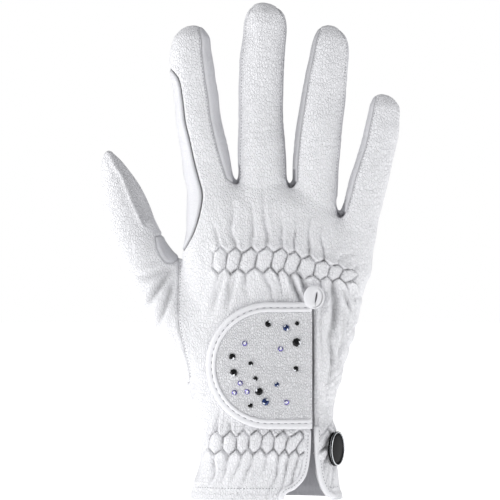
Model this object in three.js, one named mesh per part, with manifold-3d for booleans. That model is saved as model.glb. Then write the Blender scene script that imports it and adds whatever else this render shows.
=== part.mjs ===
// Riding glove for the right hand, filled as worn: fingers up along +Z, back of the hand towards -Y,
// little finger towards +X. Millimetres. The origin is the middle of the wrist opening.
import * as THREE from "three";
import { mergeVertices } from "three/addons/utils/BufferGeometryUtils.js";
import Module from "manifold-3d";

// Leather
const wall = 1.2;
const seamGap = 0.3;
const layGap = 0.3;

// Hand: the palm's tables below are shares of these
const palmLength = 150;
const palmWidth = 96;
const palmDepth = 40;
const knuckleDroop = 27;
const palmSquareness = 2.5;

// Fingers: root height is a share of palmLength, the rest is in millimetres
const indexLength = 118;
const middleLength = 127;
const ringLength = 121;
const littleLength = 101;
const indexWidth = 24.6;
const middleWidth = 24;
const ringWidth = 23.6;
const littleWidth = 20.6;
const fingerFlatness = 0.86;
const fingerSquareness = 2.2;
const fingerCurl = 8;

// Thumb
const thumbLength = 129;
const thumbSpread = 83;
const thumbDepth = 36;
const thumbForward = 16;
const thumbSquareness = 2.1;

// Gathers: two stitched bands whose puffed cells fan out into pleats
const pleats = 11;
const pleatHeight = 1.8;
const bandHeight = 10.8;

// Closure flap, its binding and the vent that it crosses
const flapHeight = 61.8;
const flapLength = 52;
const flapThickness = 1.5;
const bindingWidth = 4.8;
const bindingThickness = 1.7;
const beadWidth = 1.9;
const beadHeight = 0.6;
const ventWidth = 1.2;
const loopWidth = 10.4;
const loopHeight = 11.6;
const loopHoleWidth = 1.2;
const loopHoleHeight = 4.2;
const loopThickness = 2.6;
const stoneDiameter = 4.4;

// Badge on the little finger's side of the cuff: badgeUp is a share of palmLength
const badgeDiameter = 17;
const badgeBaseThickness = 0.8;
const badgeRimThickness = 1.7;
const badgeRimWidth = 1.2;
const badgeFaceThickness = 1.1;
const badgePostDiameter = 6;
const badgeTurn = 66;
const badgeUp = 0.167;

// Finish
const white = "#f4f4f6";
const white2 = "#e9e9ec";

// The palm from the wrist opening to the crotches: up is a share of palmLength, left and right of
// palmWidth from the middle line, back and palm of palmDepth from the middle plane.
const palmRows = [
  { up: 0.0, left: 0.392, right: 0.379, back: 0.51, palm: 0.51 },
  { up: 0.04, left: 0.384, right: 0.371, back: 0.51, palm: 0.51 },
  { up: 0.13, left: 0.349, right: 0.35, back: 0.52, palm: 0.5 },
  { up: 0.185, left: 0.343, right: 0.342, back: 0.525, palm: 0.5 },
  { up: 0.3, left: 0.375, right: 0.338, back: 0.51, palm: 0.51 },
  { up: 0.38, left: 0.396, right: 0.368, back: 0.49, palm: 0.535 },
  { up: 0.47, left: 0.4, right: 0.4, back: 0.46, palm: 0.55 },
  { up: 0.57, left: 0.41, right: 0.45, back: 0.435, palm: 0.55 },
  { up: 0.66, left: 0.422, right: 0.48, back: 0.42, palm: 0.52 },
  { up: 0.75, left: 0.433, right: 0.508, back: 0.4, palm: 0.47 },
  { up: 0.81, left: 0.436, right: 0.525, back: 0.38, palm: 0.43 },
  { up: 0.89, left: 0.412, right: 0.53, back: 0.34, palm: 0.37 },
  { up: 0.965, left: 0.4, right: 0.525, back: 0.29, palm: 0.31 },
  { up: 1.01, left: 0.385, right: 0.505, back: 0.21, palm: 0.22 },
  { up: 1.037, left: 0.35, right: 0.47, back: 0.1, palm: 0.11 },
];

// Fingers from their roots inside the palm to the tips: up is a share of the finger's length,
// across of palmWidth from the middle line, half of the finger's width.
const indexRows = [
  { up: 0.0, across: -0.27, half: 0.46 },
  { up: 0.3, across: -0.287, half: 0.49 },
  { up: 0.39, across: -0.311, half: 0.5 },
  { up: 0.494, across: -0.332, half: 0.498 },
  { up: 0.6, across: -0.357, half: 0.466 },
  { up: 0.7, across: -0.37, half: 0.447 },
  { up: 0.8, across: -0.389, half: 0.439 },
  { up: 0.893, across: -0.396, half: 0.39 },
  { up: 0.944, across: -0.391, half: 0.35 },
  { up: 0.976, across: -0.387, half: 0.25 },
  { up: 1.0, across: -0.383, half: 0.06 },
];
const middleRows = [
  { up: 0.0, across: -0.016, half: 0.46 },
  { up: 0.3, across: -0.026, half: 0.5 },
  { up: 0.44, across: -0.03, half: 0.492 },
  { up: 0.6, across: -0.036, half: 0.458 },
  { up: 0.76, across: -0.031, half: 0.455 },
  { up: 0.903, across: -0.012, half: 0.437 },
  { up: 0.95, across: -0.011, half: 0.388 },
  { up: 0.978, across: -0.017, half: 0.275 },
  { up: 1.0, across: -0.025, half: 0.06 },
];
const ringRows = [
  { up: 0.0, across: 0.23, half: 0.46 },
  { up: 0.2, across: 0.237, half: 0.49 },
  { up: 0.36, across: 0.243, half: 0.492 },
  { up: 0.504, across: 0.253, half: 0.5 },
  { up: 0.603, across: 0.268, half: 0.478 },
  { up: 0.702, across: 0.285, half: 0.458 },
  { up: 0.802, across: 0.3, half: 0.424 },
  { up: 0.893, across: 0.317, half: 0.394 },
  { up: 0.942, across: 0.319, half: 0.343 },
  { up: 0.976, across: 0.315, half: 0.225 },
  { up: 1.0, across: 0.311, half: 0.06 },
];
const littleRows = [
  { up: 0.0, across: 0.37, half: 0.43 },
  { up: 0.19, across: 0.421, half: 0.485 },
  { up: 0.287, across: 0.448, half: 0.505 },
  { up: 0.403, across: 0.471, half: 0.495 },
  { up: 0.52, across: 0.502, half: 0.5 },
  { up: 0.638, across: 0.533, half: 0.486 },
  { up: 0.69, across: 0.552, half: 0.442 },
  { up: 0.807, across: 0.582, half: 0.427 },
  { up: 0.87, across: 0.59, half: 0.393 },
  { up: 0.933, across: 0.6, half: 0.36 },
  { up: 0.972, across: 0.595, half: 0.26 },
  { up: 1.0, across: 0.586, half: 0.06 },
];

// The thumb from its root in the heel of the hand to the tip: up is a share of thumbLength, left
// and right of thumbSpread, depth of thumbDepth (half of it), forward of thumbForward.
const thumbRows = [
  { up: 0.0, left: 0.4, right: 0.12, depth: 0.38, forward: 0.25 },
  { up: 0.078, left: 0.443, right: 0.1, depth: 0.44, forward: 0.28 },
  { up: 0.14, left: 0.49, right: 0.1, depth: 0.48, forward: 0.31 },
  { up: 0.217, left: 0.569, right: 0.12, depth: 0.5, forward: 0.38 },
  { up: 0.295, left: 0.655, right: 0.18, depth: 0.486, forward: 0.44 },
  { up: 0.372, left: 0.734, right: 0.265, depth: 0.458, forward: 0.5 },
  { up: 0.45, left: 0.804, right: 0.345, depth: 0.417, forward: 0.59 },
  { up: 0.527, left: 0.856, right: 0.425, depth: 0.383, forward: 0.69 },
  { up: 0.589, left: 0.901, right: 0.515, depth: 0.356, forward: 0.76 },
  { up: 0.659, left: 0.947, right: 0.605, depth: 0.333, forward: 0.83 },
  { up: 0.729, left: 0.971, right: 0.665, depth: 0.317, forward: 0.89 },
  { up: 0.798, left: 0.983, right: 0.714, depth: 0.3, forward: 0.94 },
  { up: 0.868, left: 0.993, right: 0.765, depth: 0.272, forward: 0.98 },
  { up: 0.93, left: 0.995, right: 0.835, depth: 0.217, forward: 1.0 },
  { up: 0.969, left: 0.985, right: 0.888, depth: 0.15, forward: 1.0 },
  { up: 1.0, left: 0.955, right: 0.94, depth: 0.03, forward: 1.0 },
];

// Where the pleats start and end across the palm's back, as shares of its half width
const pleatSpan = { from: -0.62, to: 0.92 };

// Gathered bands: at, fanUp and fanDown are shares of palmLength
const gatherBands = [
  { at: 0.778, fanUp: 0.15, fanDown: 0.11 },
  { at: 0.186, fanUp: 0.04, fanDown: 0.13 },
];

// Long folds on the palm's back and the heel of the hand: ends across as shares of palmWidth and
// up as shares of palmLength, depth of pleatHeight, width in pleats.
const folds = [
  { x1: 0.33, z1: 0.7, x2: 0.31, z2: 0.52, depth: 1.1, width: 0.4 },
  { x1: 0.38, z1: 0.62, x2: 0.33, z2: 0.38, depth: 0.8, width: 0.35 },
  { x1: 0.27, z1: 0.5, x2: 0.26, z2: 0.33, depth: 0.7, width: 0.35 },
  { x1: 0.1, z1: 0.68, x2: 0.17, z2: 0.64, depth: 0.7, width: 0.35 },
  { x1: -0.46, z1: 0.76, x2: -0.58, z2: 0.62, depth: 1.5, width: 0.7 },
  { x1: -0.45, z1: 0.7, x2: -0.52, z2: 0.52, depth: 1.2, width: 0.6 },
];

// Seam of the panel that wraps the index finger's outer side, from the finger down to the thumb's
// crotch: across is a share of palmWidth, up of palmLength.
const wrapSeam = [
  { across: -0.5, up: 1.413 },
  { across: -0.454, up: 1.365 },
  { across: -0.429, up: 1.245 },
  { across: -0.406, up: 1.176 },
  { across: -0.383, up: 1.111 },
  { across: -0.357, up: 1.052 },
  { across: -0.337, up: 1.003 },
  { across: -0.342, up: 0.961 },
  { across: -0.362, up: 0.908 },
  { across: -0.388, up: 0.866 },
  { across: -0.424, up: 0.823 },
  { across: -0.46, up: 0.79 },
];

// Seam that sets the thumb into the palm, from above its crotch down to the heel of the hand
const thumbSeam = [
  { across: -0.52, up: 1.2 },
  { across: -0.475, up: 0.83 },
  { across: -0.459, up: 0.79 },
  { across: -0.459, up: 0.61 },
  { across: -0.443, up: 0.53 },
  { across: -0.41, up: 0.44 },
  { across: -0.405, up: 0.38 },
];

// Smooth gusset in the thumb's crotch
const gussetOutline = [
  { across: -0.582, up: 0.855 },
  { across: -0.5, up: 0.845 },
  { across: -0.455, up: 0.8 },
  { across: -0.48, up: 0.76 },
  { across: -0.535, up: 0.765 },
];

// Where each finger's seams run, as shares of its half width, and how deep the crotch panels reach
const fingerSeams = {
  index: { left: -1.1, right: 0.55 },
  middle: { left: -0.86, right: 0.86 },
  ring: { left: -0.8, right: 0.86 },
  little: { left: -0.72, right: 1.1 },
};
const crotches = [
  { left: "index", right: "middle", across: -0.153, up: 0.995, name: "fourchette_index_middle" },
  { left: "middle", right: "ring", across: 0.115, up: 0.985, name: "fourchette_middle_ring" },
  { left: "ring", right: "little", across: 0.378, up: 0.895, name: "fourchette_ring_little" },
];

// The vent below the flap: across from the flap's fold as shares of flapLength, up of palmLength
const ventLeft = [
  { across: -0.02, up: 0.23 },
  { across: -0.03, up: 0.147 },
  { across: -0.068, up: 0.082 },
  { across: -0.16, up: 0.043 },
  { across: -0.26, up: 0.02 },
  { across: -0.3, up: -0.05 },
];
const ventRight = [
  { across: 0.02, up: 0.245 },
  { across: 0.037, up: 0.196 },
  { across: 0.056, up: 0.131 },
  { across: 0.094, up: 0.065 },
  { across: 0.17, up: 0.017 },
  { across: 0.19, up: -0.05 },
];

// Glued stones: across and up are shares of the flap's length and height from its lower left, size
// of stoneDiameter
const stoneColours = { jet: "#101216", blue: "#2f62b8", violet: "#6b5aa8", clear: "#cfc8dc" };
const stones = [
  { across: 0.586, up: 0.828, size: 0.75, kind: "jet" },
  { across: 0.754, up: 0.798, size: 0.75, kind: "blue" },
  { across: 0.856, up: 0.832, size: 0.52, kind: "jet" },
  { across: 0.853, up: 0.682, size: 1.0, kind: "jet" },
  { across: 0.702, up: 0.631, size: 0.61, kind: "clear" },
  { across: 0.366, up: 0.674, size: 0.61, kind: "violet" },
  { across: 0.249, up: 0.569, size: 0.77, kind: "jet" },
  { across: 0.422, up: 0.515, size: 0.57, kind: "jet" },
  { across: 0.263, up: 0.443, size: 0.89, kind: "jet" },
  { across: 0.466, up: 0.397, size: 0.57, kind: "jet" },
  { across: 0.845, up: 0.474, size: 0.64, kind: "jet" },
  { across: 0.323, up: 0.363, size: 0.61, kind: "violet" },
  { across: 0.665, up: 0.352, size: 0.57, kind: "blue" },
  { across: 0.27, up: 0.288, size: 0.61, kind: "violet" },
  { across: 0.388, up: 0.295, size: 0.61, kind: "violet" },
  { across: 0.499, up: 0.297, size: 0.91, kind: "jet" },
  { across: 0.56, up: 0.216, size: 0.84, kind: "blue" },
  { across: 0.418, up: 0.189, size: 0.59, kind: "jet" },
  { across: 0.756, up: 0.211, size: 0.61, kind: "violet" },
];

// Places that follow from the sizes above
const flapRight = 0.225 * palmWidth;
const flapBottom = 0.2353 * palmLength;
const flapLeft = flapRight - flapLength;
const flapTop = flapBottom + flapHeight;
const fingerRoots = { index: 0.771, middle: 0.788, ring: 0.753, little: 0.656 };
const fingers = {
  index: { rows: indexRows, length: indexLength, width: indexWidth },
  middle: { rows: middleRows, length: middleLength, width: middleWidth },
  ring: { rows: ringRows, length: ringLength, width: ringWidth },
  little: { rows: littleRows, length: littleLength, width: littleWidth },
};
const thumbRoot = 0.28 * palmLength;
const curlStart = 0.87 * palmLength;
const curlEnd = fingerRoots.middle * palmLength + middleLength;
const far = 2 * (palmLength + middleLength);

const wasm = await Module();
wasm.setup();

// Smooth value of a table's column, with slopes that never overshoot its rows
function columnAt(rows, column, at) {
  const last = rows.length - 1;
  if (at <= rows[0].up) return rows[0][column];
  if (at >= rows[last].up) return rows[last][column];
  let i = 0;
  while (rows[i + 1].up < at) i += 1;
  const step = (k) => rows[k + 1].up - rows[k].up;
  const slope = (k) => (rows[k + 1][column] - rows[k][column]) / step(k);
  const tangent = (k) => {
    if (k === 0) return slope(0);
    if (k === last) return slope(last - 1);
    const before = slope(k - 1);
    const after = slope(k);
    return before * after <= 0 ? 0 : (2 * before * after) / (before + after);
  };
  const h = step(i);
  const t = (at - rows[i].up) / h;
  const a = rows[i][column];
  const b = rows[i + 1][column];
  const rise = (2 * t ** 3 - 3 * t ** 2 + 1) * a + (3 * t ** 2 - 2 * t ** 3) * b;
  return rise + h * (t ** 3 - 2 * t ** 2 + t) * tangent(i) + h * (t ** 3 - t ** 2) * tangent(i + 1);
}

function smooth(value) {
  const t = Math.min(1, Math.max(0, value));
  return t * t * (3 - 2 * t);
}

// How far the fingers curl towards the palm at a height
function curlAt(z) {
  return fingerCurl * Math.max(0, (z - curlStart) / (curlEnd - curlStart)) ** 1.6;
}

// Each limb gives its section at a height: left and right edges, back and palm depths, middle depth
function palmSection(z) {
  const up = z / palmLength;
  return {
    left: -palmWidth * columnAt(palmRows, "left", up),
    right: palmWidth * columnAt(palmRows, "right", up),
    back: palmDepth * columnAt(palmRows, "back", up),
    palm: palmDepth * columnAt(palmRows, "palm", up),
    middle: 0,
  };
}

function fingerSection(name, z) {
  const finger = fingers[name];
  const up = (z - fingerRoots[name] * palmLength) / finger.length;
  const half = finger.width * columnAt(finger.rows, "half", up);
  const centre = palmWidth * columnAt(finger.rows, "across", up);
  const depth = half * fingerFlatness;
  return { left: centre - half, right: centre + half, back: depth, palm: depth, middle: curlAt(z) };
}

function thumbSection(z) {
  const up = (z - thumbRoot) / thumbLength;
  const depth = thumbDepth * columnAt(thumbRows, "depth", up);
  return {
    left: -thumbSpread * columnAt(thumbRows, "left", up),
    right: -thumbSpread * columnAt(thumbRows, "right", up),
    back: depth,
    palm: depth,
    middle: thumbForward * columnAt(thumbRows, "forward", up),
  };
}

function inset(section, by) {
  return {
    left: section.left + by,
    right: section.right - by,
    back: section.back - by,
    palm: section.palm - by,
    middle: section.middle,
  };
}

// The knuckles stand lower towards the little finger, so heights near them droop with x
function droopAt(x, z) {
  const side = Math.max(0, (x - 0.083 * palmWidth) / (0.46 * palmWidth));
  return knuckleDroop * side ** 1.2 * smooth((z / palmLength - 0.63) / 0.38);
}

// Stitched rows stay down, the cells between them puff up, and pleats fan out above and below
function gatherLift(phase, z) {
  let lift = 0;
  for (const band of gatherBands) {
    const away = z - band.at * palmLength;
    const half = bandHeight / 2;
    const wave = 0.5 + 0.5 * Math.cos(2 * Math.PI * phase);
    if (Math.abs(away) <= half) {
      lift += pleatHeight * wave * Math.cos((Math.PI / 2) * (away / half)) ** 0.7;
      continue;
    }
    const fan = palmLength * (away > 0 ? band.fanUp : band.fanDown);
    const run = (Math.abs(away) - half) / fan;
    if (run < 1) lift += pleatHeight * (1 - wave) * smooth(run * 6) * (1 - run) ** 1.3;
  }
  return lift;
}

function foldLift(x, z) {
  let lift = 0;
  const pleat = (0.75 * palmWidth) / pleats;
  for (const fold of folds) {
    const from = new THREE.Vector2(fold.x1 * palmWidth, fold.z1 * palmLength);
    const to = new THREE.Vector2(fold.x2 * palmWidth, fold.z2 * palmLength);
    const along = to.clone().sub(from);
    const share = new THREE.Vector2(x, z).sub(from).dot(along) / along.lengthSq();
    if (share <= 0 || share >= 1) continue;
    const near = from.addScaledVector(along, share);
    const off = near.distanceTo(new THREE.Vector2(x, z)) / (fold.width * pleat);
    lift -= fold.depth * pleatHeight * Math.exp(-off * off) * Math.sin(Math.PI * share);
  }
  return lift;
}

// Column places around a section: side shows the back (-1) or the palm (1), at runs from -1 to 1
function roundColumns(count) {
  const columns = [];
  for (let i = 0; i < count; i += 1) {
    const angle = (2 * Math.PI * i) / count;
    columns.push({ at: -Math.cos(angle), side: -Math.sign(Math.sin(angle) || 1) });
  }
  return columns;
}

// The palm's columns crowd on the back, one on each pleat's crest and one in each valley
function palmColumns() {
  const columns = [];
  for (const at of [-1, -0.96, -0.82]) columns.push({ at, side: -1 });
  for (let i = 0; i <= 2 * pleats; i += 1) {
    const phase = i / 2;
    const at = pleatSpan.from + (pleatSpan.to - pleatSpan.from) * (phase / pleats);
    columns.push({ at, side: -1, phase });
  }
  for (const at of [0.97, 1]) columns.push({ at, side: -1 });
  for (const at of [0.96, 0.82, 0.55, 0.2, -0.2, -0.55, -0.82, -0.96]) columns.push({ at, side: 1 });
  return columns;
}

function sectionPoint(section, column, z, squareness, lift = 0) {
  const centre = (section.left + section.right) / 2;
  const half = (section.right - section.left) / 2;
  const bulge = Math.max(0, 1 - Math.abs(column.at) ** squareness) ** (1 / squareness);
  const depth = column.side < 0 ? section.back : section.palm;
  const y = section.middle + column.side * (depth * bulge + lift * bulge);
  return new THREE.Vector3(centre + half * column.at, y, z);
}

// Closed skin through rings of points, with a fan at each end
function loft(rings) {
  const points = rings.flat();
  const count = rings[0].length;
  const faces = [];
  for (let row = 0; row < rings.length - 1; row += 1) {
    for (let i = 0; i < count; i += 1) {
      const next = (i + 1) % count;
      const a = row * count + i;
      const b = row * count + next;
      faces.push(a, b, b + count, a, b + count, a + count);
    }
  }
  for (const [row, turned] of [[0, true], [rings.length - 1, false]]) {
    const ring = rings[row];
    const centre = ring.reduce((sum, p) => sum.add(p), new THREE.Vector3()).divideScalar(count);
    const hub = points.push(centre) - 1;
    for (let i = 0; i < count; i += 1) {
      const a = row * count + i;
      const b = row * count + ((i + 1) % count);
      faces.push(hub, turned ? b : a, turned ? a : b);
    }
  }
  const geometry = new THREE.BufferGeometry().setFromPoints(points);
  geometry.setIndex(volumeOf(points, faces) < 0 ? faces.reverse() : faces);
  return geometry;
}

function volumeOf(points, faces) {
  let volume = 0;
  for (let i = 0; i < faces.length; i += 3) {
    const [a, b, c] = [points[faces[i]], points[faces[i + 1]], points[faces[i + 2]]];
    volume += a.dot(b.clone().cross(c)) / 6;
  }
  return volume;
}

function between(from, to, count) {
  return Array.from({ length: count + 1 }, (_, i) => from + ((to - from) * i) / count);
}

// Ring heights: even ones, with the stitched rows and the cells' middles among them
function palmHeights() {
  const half = bandHeight / 2;
  const heights = [0, 0.033, 0.31, 0.38, 0.46, 0.54, 0.6, 0.965, 1.0, 1.02, 1.037];
  const list = heights.map((share) => share * palmLength);
  for (const band of gatherBands) {
    const at = band.at * palmLength;
    list.push(at - half, at, at + half);
    for (const share of [0.2, 1]) {
      list.push(at - half - share * band.fanDown * palmLength * 0.98);
      list.push(at + half + share * band.fanUp * palmLength * 0.98);
    }
  }
  return list.filter((z) => z >= 0).sort((a, b) => a - b);
}

function palmBody(by, heights, columns) {
  const rings = heights.map((z) => {
    const section = inset(palmSection(z), by);
    return columns.map((column) => {
      const x = (section.left + section.right) / 2 + ((section.right - section.left) / 2) * column.at;
      const level = z - droopAt(x, z);
      const rough = by === 0 && column.side < 0;
      const pleat = rough && column.phase !== undefined ? gatherLift(column.phase, z) : 0;
      return sectionPoint(section, column, level, palmSquareness, rough ? pleat + foldLift(x, z) : 0);
    });
  });
  return loft(rings);
}

function limbBody(sectionAt, by, heights, columns, squareness) {
  const rings = heights.map((z) => {
    const section = inset(sectionAt(z), by);
    return columns.map((column) => {
      const x = (section.left + section.right) / 2 + ((section.right - section.left) / 2) * column.at;
      const lift = by === 0 && column.side < 0 ? foldLift(x, z) : 0;
      return sectionPoint(section, column, z, squareness, lift);
    });
  });
  return loft(rings);
}

// A limb's ring heights crowd towards its domed tip
function limbHeights(from, to, count, power = 1.6) {
  return between(0, 1, count).map((t) => from + (to - from) * (1 - (1 - t) ** power));
}

function solid(geometry) {
  const bare = geometry.index ? geometry.toNonIndexed() : geometry.clone();
  bare.deleteAttribute("normal");
  bare.deleteAttribute("uv");
  const merged = mergeVertices(bare, 1e-4);
  const vertProperties = new Float32Array(merged.attributes.position.array);
  const triVerts = new Uint32Array(merged.index.array);
  return new wasm.Manifold(new wasm.Mesh({ numProp: 3, vertProperties, triVerts }));
}

function geometryOf(body) {
  const mesh = body.getMesh();
  const geometry = new THREE.BufferGeometry();
  geometry.setAttribute("position", new THREE.BufferAttribute(mesh.vertProperties, 3));
  geometry.setIndex(new THREE.BufferAttribute(mesh.triVerts, 1));
  geometry.computeVertexNormals();
  return geometry;
}

// Straight prism of an outline in the XZ plane, running from one depth to another along Y
function prism(outline, from, to) {
  const shape = new THREE.Shape(outline.map((p) => new THREE.Vector2(p.x, p.y)));
  const geometry = new THREE.ExtrudeGeometry(shape, { depth: to - from, bevelEnabled: false });
  geometry.rotateX(Math.PI / 2);
  geometry.translate(0, to, 0);
  return solid(geometry);
}

// Outline moved outwards by a distance, whichever way it runs
function grow(outline, by) {
  const turn = THREE.ShapeUtils.isClockWise(outline) ? -1 : 1;
  return outline.map((p, i) => {
    const before = outline[(i + outline.length - 1) % outline.length];
    const after = outline[(i + 1) % outline.length];
    const a = p.clone().sub(before).normalize();
    const b = after.clone().sub(p).normalize();
    const along = a.clone().add(b).normalize();
    const out = new THREE.Vector2(along.y, -along.x).multiplyScalar(turn);
    const open = Math.max(0.5, Math.sqrt((1 + a.dot(b)) / 2));
    return p.clone().addScaledVector(out, by / open);
  });
}

function placed(rows) {
  return rows.map((row) => new THREE.Vector2(row.across * palmWidth, row.up * palmLength));
}

// Skins of the filled glove and of the hollow inside it
function handSkin() {
  const limbs = [palmBody(0, palmHeights(), palmColumns())];
  const lower = thumbRoot;
  const upper = thumbRoot + thumbLength;
  limbs.push(limbBody(thumbSection, 0, limbHeights(lower, upper, 12), roundColumns(20), thumbSquareness));
  for (const [name, finger] of Object.entries(fingers)) {
    const root = fingerRoots[name] * palmLength;
    const heights = limbHeights(root, root + finger.length, 11);
    limbs.push(limbBody((z) => fingerSection(name, z), 0, heights, roundColumns(16), fingerSquareness));
  }
  return limbs.map(solid).reduce((sum, limb) => sum.add(limb));
}

function handHollow() {
  const top = 1.037 * palmLength - 4 * wall;
  const openEnd = [-2 * wall, ...between(wall, top, 8)];
  const limbs = [palmBody(wall, openEnd, roundColumns(20))];
  const thumbTip = thumbRoot + thumbLength - wall;
  const thumbHeights = limbHeights(thumbRoot + wall, thumbTip, 7);
  limbs.push(limbBody(thumbSection, wall, thumbHeights, roundColumns(12), thumbSquareness));
  for (const [name, finger] of Object.entries(fingers)) {
    const root = fingerRoots[name] * palmLength;
    const heights = limbHeights(root + wall, root + finger.length - wall, 6);
    limbs.push(limbBody((z) => fingerSection(name, z), wall, heights, roundColumns(12), fingerSquareness));
  }
  return limbs.map(solid).reduce((sum, limb) => sum.add(limb));
}

function ventOutline() {
  const point = (row) => new THREE.Vector2(flapRight + row.across * flapLength, row.up * palmLength);
  const slitTop = flapTop - bindingWidth / 2;
  const left = new THREE.Vector2(flapRight - ventWidth / 2, slitTop);
  const right = new THREE.Vector2(flapRight + ventWidth / 2, slitTop);
  return [left, ...ventLeft.map(point), ...ventRight.map(point).reverse(), right];
}

// Outline of the panel that lines the gap between two fingers, from seam to seam
function crotchOutline(crotch) {
  const seam = (name, side) => {
    const root = fingerRoots[name] * palmLength;
    const tip = root + fingers[name].length;
    const start = crotch.up * palmLength + 0.022 * palmLength;
    return between(start, tip - 0.02 * fingers[name].length, 5).map((z) => {
      const section = fingerSection(name, z);
      const centre = (section.left + section.right) / 2;
      const half = (section.right - section.left) / 2;
      return new THREE.Vector2(centre + half * fingerSeams[name][side], z);
    });
  };
  const bottom = new THREE.Vector2(crotch.across * palmWidth, crotch.up * palmLength);
  const right = seam(crotch.right, "left");
  const left = seam(crotch.left, "right");
  const top = curlEnd + fingerCurl;
  const rightTop = new THREE.Vector2(right[right.length - 1].x, top);
  const leftTop = new THREE.Vector2(left[left.length - 1].x, top);
  return [bottom, ...right, rightTop, leftTop, ...left.reverse()];
}

// Half space on the palm's side of the middle plane, which follows the fingers' curl
function palmHalf(shift) {
  const edge = between(0, curlEnd, 14).map((z) => new THREE.Vector2(curlAt(z) - shift, z));
  const outline = [new THREE.Vector2(-shift, -far), ...edge, new THREE.Vector2(far, far)];
  outline.push(new THREE.Vector2(far, -far));
  const shape = new THREE.Shape(outline);
  const geometry = new THREE.ExtrudeGeometry(shape, { depth: 2 * far, bevelEnabled: false });
  geometry.applyMatrix4(new THREE.Matrix4().set(0, 0, 1, -far, 1, 0, 0, 0, 0, 1, 0, 0, 0, 0, 0, 1));
  return solid(geometry);
}

// The whole skin as one hollow wall, cut into the panels that are sewn together
function panels() {
  const vent = prism(ventOutline(), -far, 0);
  let rest = handSkin().subtract(handHollow()).subtract(vent);
  const parts = {};
  const take = (name, outline) => {
    parts[name] = rest.intersect(prism(outline, -far, far));
    rest = rest.subtract(prism(grow(outline, seamGap), -far, far));
  };
  for (const crotch of crotches) take(crotch.name, crotchOutline(crotch));
  take("thumb_gusset", placed(gussetOutline));
  const seam = placed(thumbSeam);
  const leftEdge = [new THREE.Vector2(-far, seam[seam.length - 1].y), new THREE.Vector2(-far, seam[0].y)];
  take("thumb", [...seam, ...leftEdge]);
  const wrap = placed(wrapSeam);
  wrap.push(new THREE.Vector2(-palmWidth, wrap[wrap.length - 1].y));
  wrap.push(new THREE.Vector2(-palmWidth, wrap[0].y));
  parts.palm_panel = rest.intersect(palmHalf(0).add(prism(wrap, -far, far)));
  const reach = palmHalf(seamGap).add(prism(grow(wrap, seamGap), -far, far));
  parts.back_panel = rest.subtract(reach);
  return parts;
}

// Pleats run under the flap's edge, where they are only this share of their height
const bedShare = 0.6;

// Depth of the back's smooth surface at a place in the XZ plane, as y
function backAt(x, z) {
  const section = palmSection(z);
  const centre = (section.left + section.right) / 2;
  const half = (section.right - section.left) / 2;
  const at = Math.min(0.98, Math.abs((x - centre) / half));
  return -section.back * (1 - at ** palmSquareness) ** (1 / palmSquareness);
}

function onBack(x, z, height) {
  return new THREE.Vector3(x, backAt(x, z) - bedShare * pleatHeight - layGap - height, z);
}

// Outline of the flap, moved inwards: straight along the fold, round at its free end
function flapPath(inward, count = 18) {
  const radius = flapHeight / 2 - inward;
  const centre = new THREE.Vector2(flapLeft + flapHeight / 2, flapBottom + flapHeight / 2);
  const points = [new THREE.Vector2(flapRight, centre.y + radius)];
  points.push(new THREE.Vector2((flapRight + centre.x) / 2, centre.y + radius));
  for (const angle of between(Math.PI / 2, 1.5 * Math.PI, count)) {
    const spoke = new THREE.Vector2(Math.cos(angle), Math.sin(angle)).multiplyScalar(radius);
    points.push(centre.clone().add(spoke));
  }
  points.push(new THREE.Vector2((flapRight + centre.x) / 2, centre.y - radius));
  points.push(new THREE.Vector2(flapRight, centre.y - radius));
  return points;
}

// The flap is a thick plate that follows the back: rings shrink towards its middle
function flapBody() {
  const outline = flapPath(bindingWidth + seamGap);
  const low = outline[outline.length - 1];
  const high = outline[0];
  for (const share of [0.25, 0.5, 0.75]) outline.push(low.clone().lerp(high, share));
  const centre = new THREE.Vector2((flapLeft + flapRight) / 2, flapBottom + flapHeight / 2);
  const ring = (share, height) => outline.map((p) => {
    const q = centre.clone().lerp(p, share);
    return onBack(q.x, q.y, height);
  });
  const shares = [0.15, 0.55, 1];
  const under = shares.map((share) => ring(share, 0));
  const over = shares.map((share) => ring(share, flapThickness)).reverse();
  return loft([...under, ...over]);
}

// Binding strip along a path in the XZ plane; its section is offset sideways and raised off the back
function strip(path, section, lift = 0) {
  const rings = path.map((p, i) => {
    const before = path[Math.max(0, i - 1)];
    const after = path[Math.min(path.length - 1, i + 1)];
    const along = after.clone().sub(before).normalize();
    const side = new THREE.Vector2(-along.y, along.x);
    return section.map(([across, height]) => {
      const q = p.clone().addScaledVector(side, across);
      return onBack(q.x, q.y, height + lift);
    });
  });
  return loft(rings);
}

// From the bead along the binding's inner edge to its thinner outer edge
const bindingSection = [
  [0, 0],
  [0, bindingThickness],
  [-beadWidth * 0.25, bindingThickness + beadHeight],
  [-beadWidth * 0.75, bindingThickness + beadHeight],
  [-beadWidth, bindingThickness],
  [-bindingWidth, bindingThickness * 0.7],
  [-bindingWidth, 0],
];

function ventBinding(rows, inward) {
  const point = (row) => new THREE.Vector2(flapRight + row.across * flapLength, row.up * palmLength);
  const path = rows.map(point).filter((p) => p.y > 0 && p.y < flapBottom - bindingWidth * 0.3);
  const foot = point(rows[rows.length - 1]).lerp(path[path.length - 1], 0.75);
  if (foot.y > 0) path.push(foot);
  const width = 0.62 * bindingWidth;
  const near = inward > 0 ? seamGap : -width - seamGap;
  const section = [
    [near, 0],
    [near, bindingThickness * 0.8],
    [near + width, bindingThickness * 0.8],
    [near + width, 0],
  ];
  return strip(path, section, (1 - bedShare) * pleatHeight);
}

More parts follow.
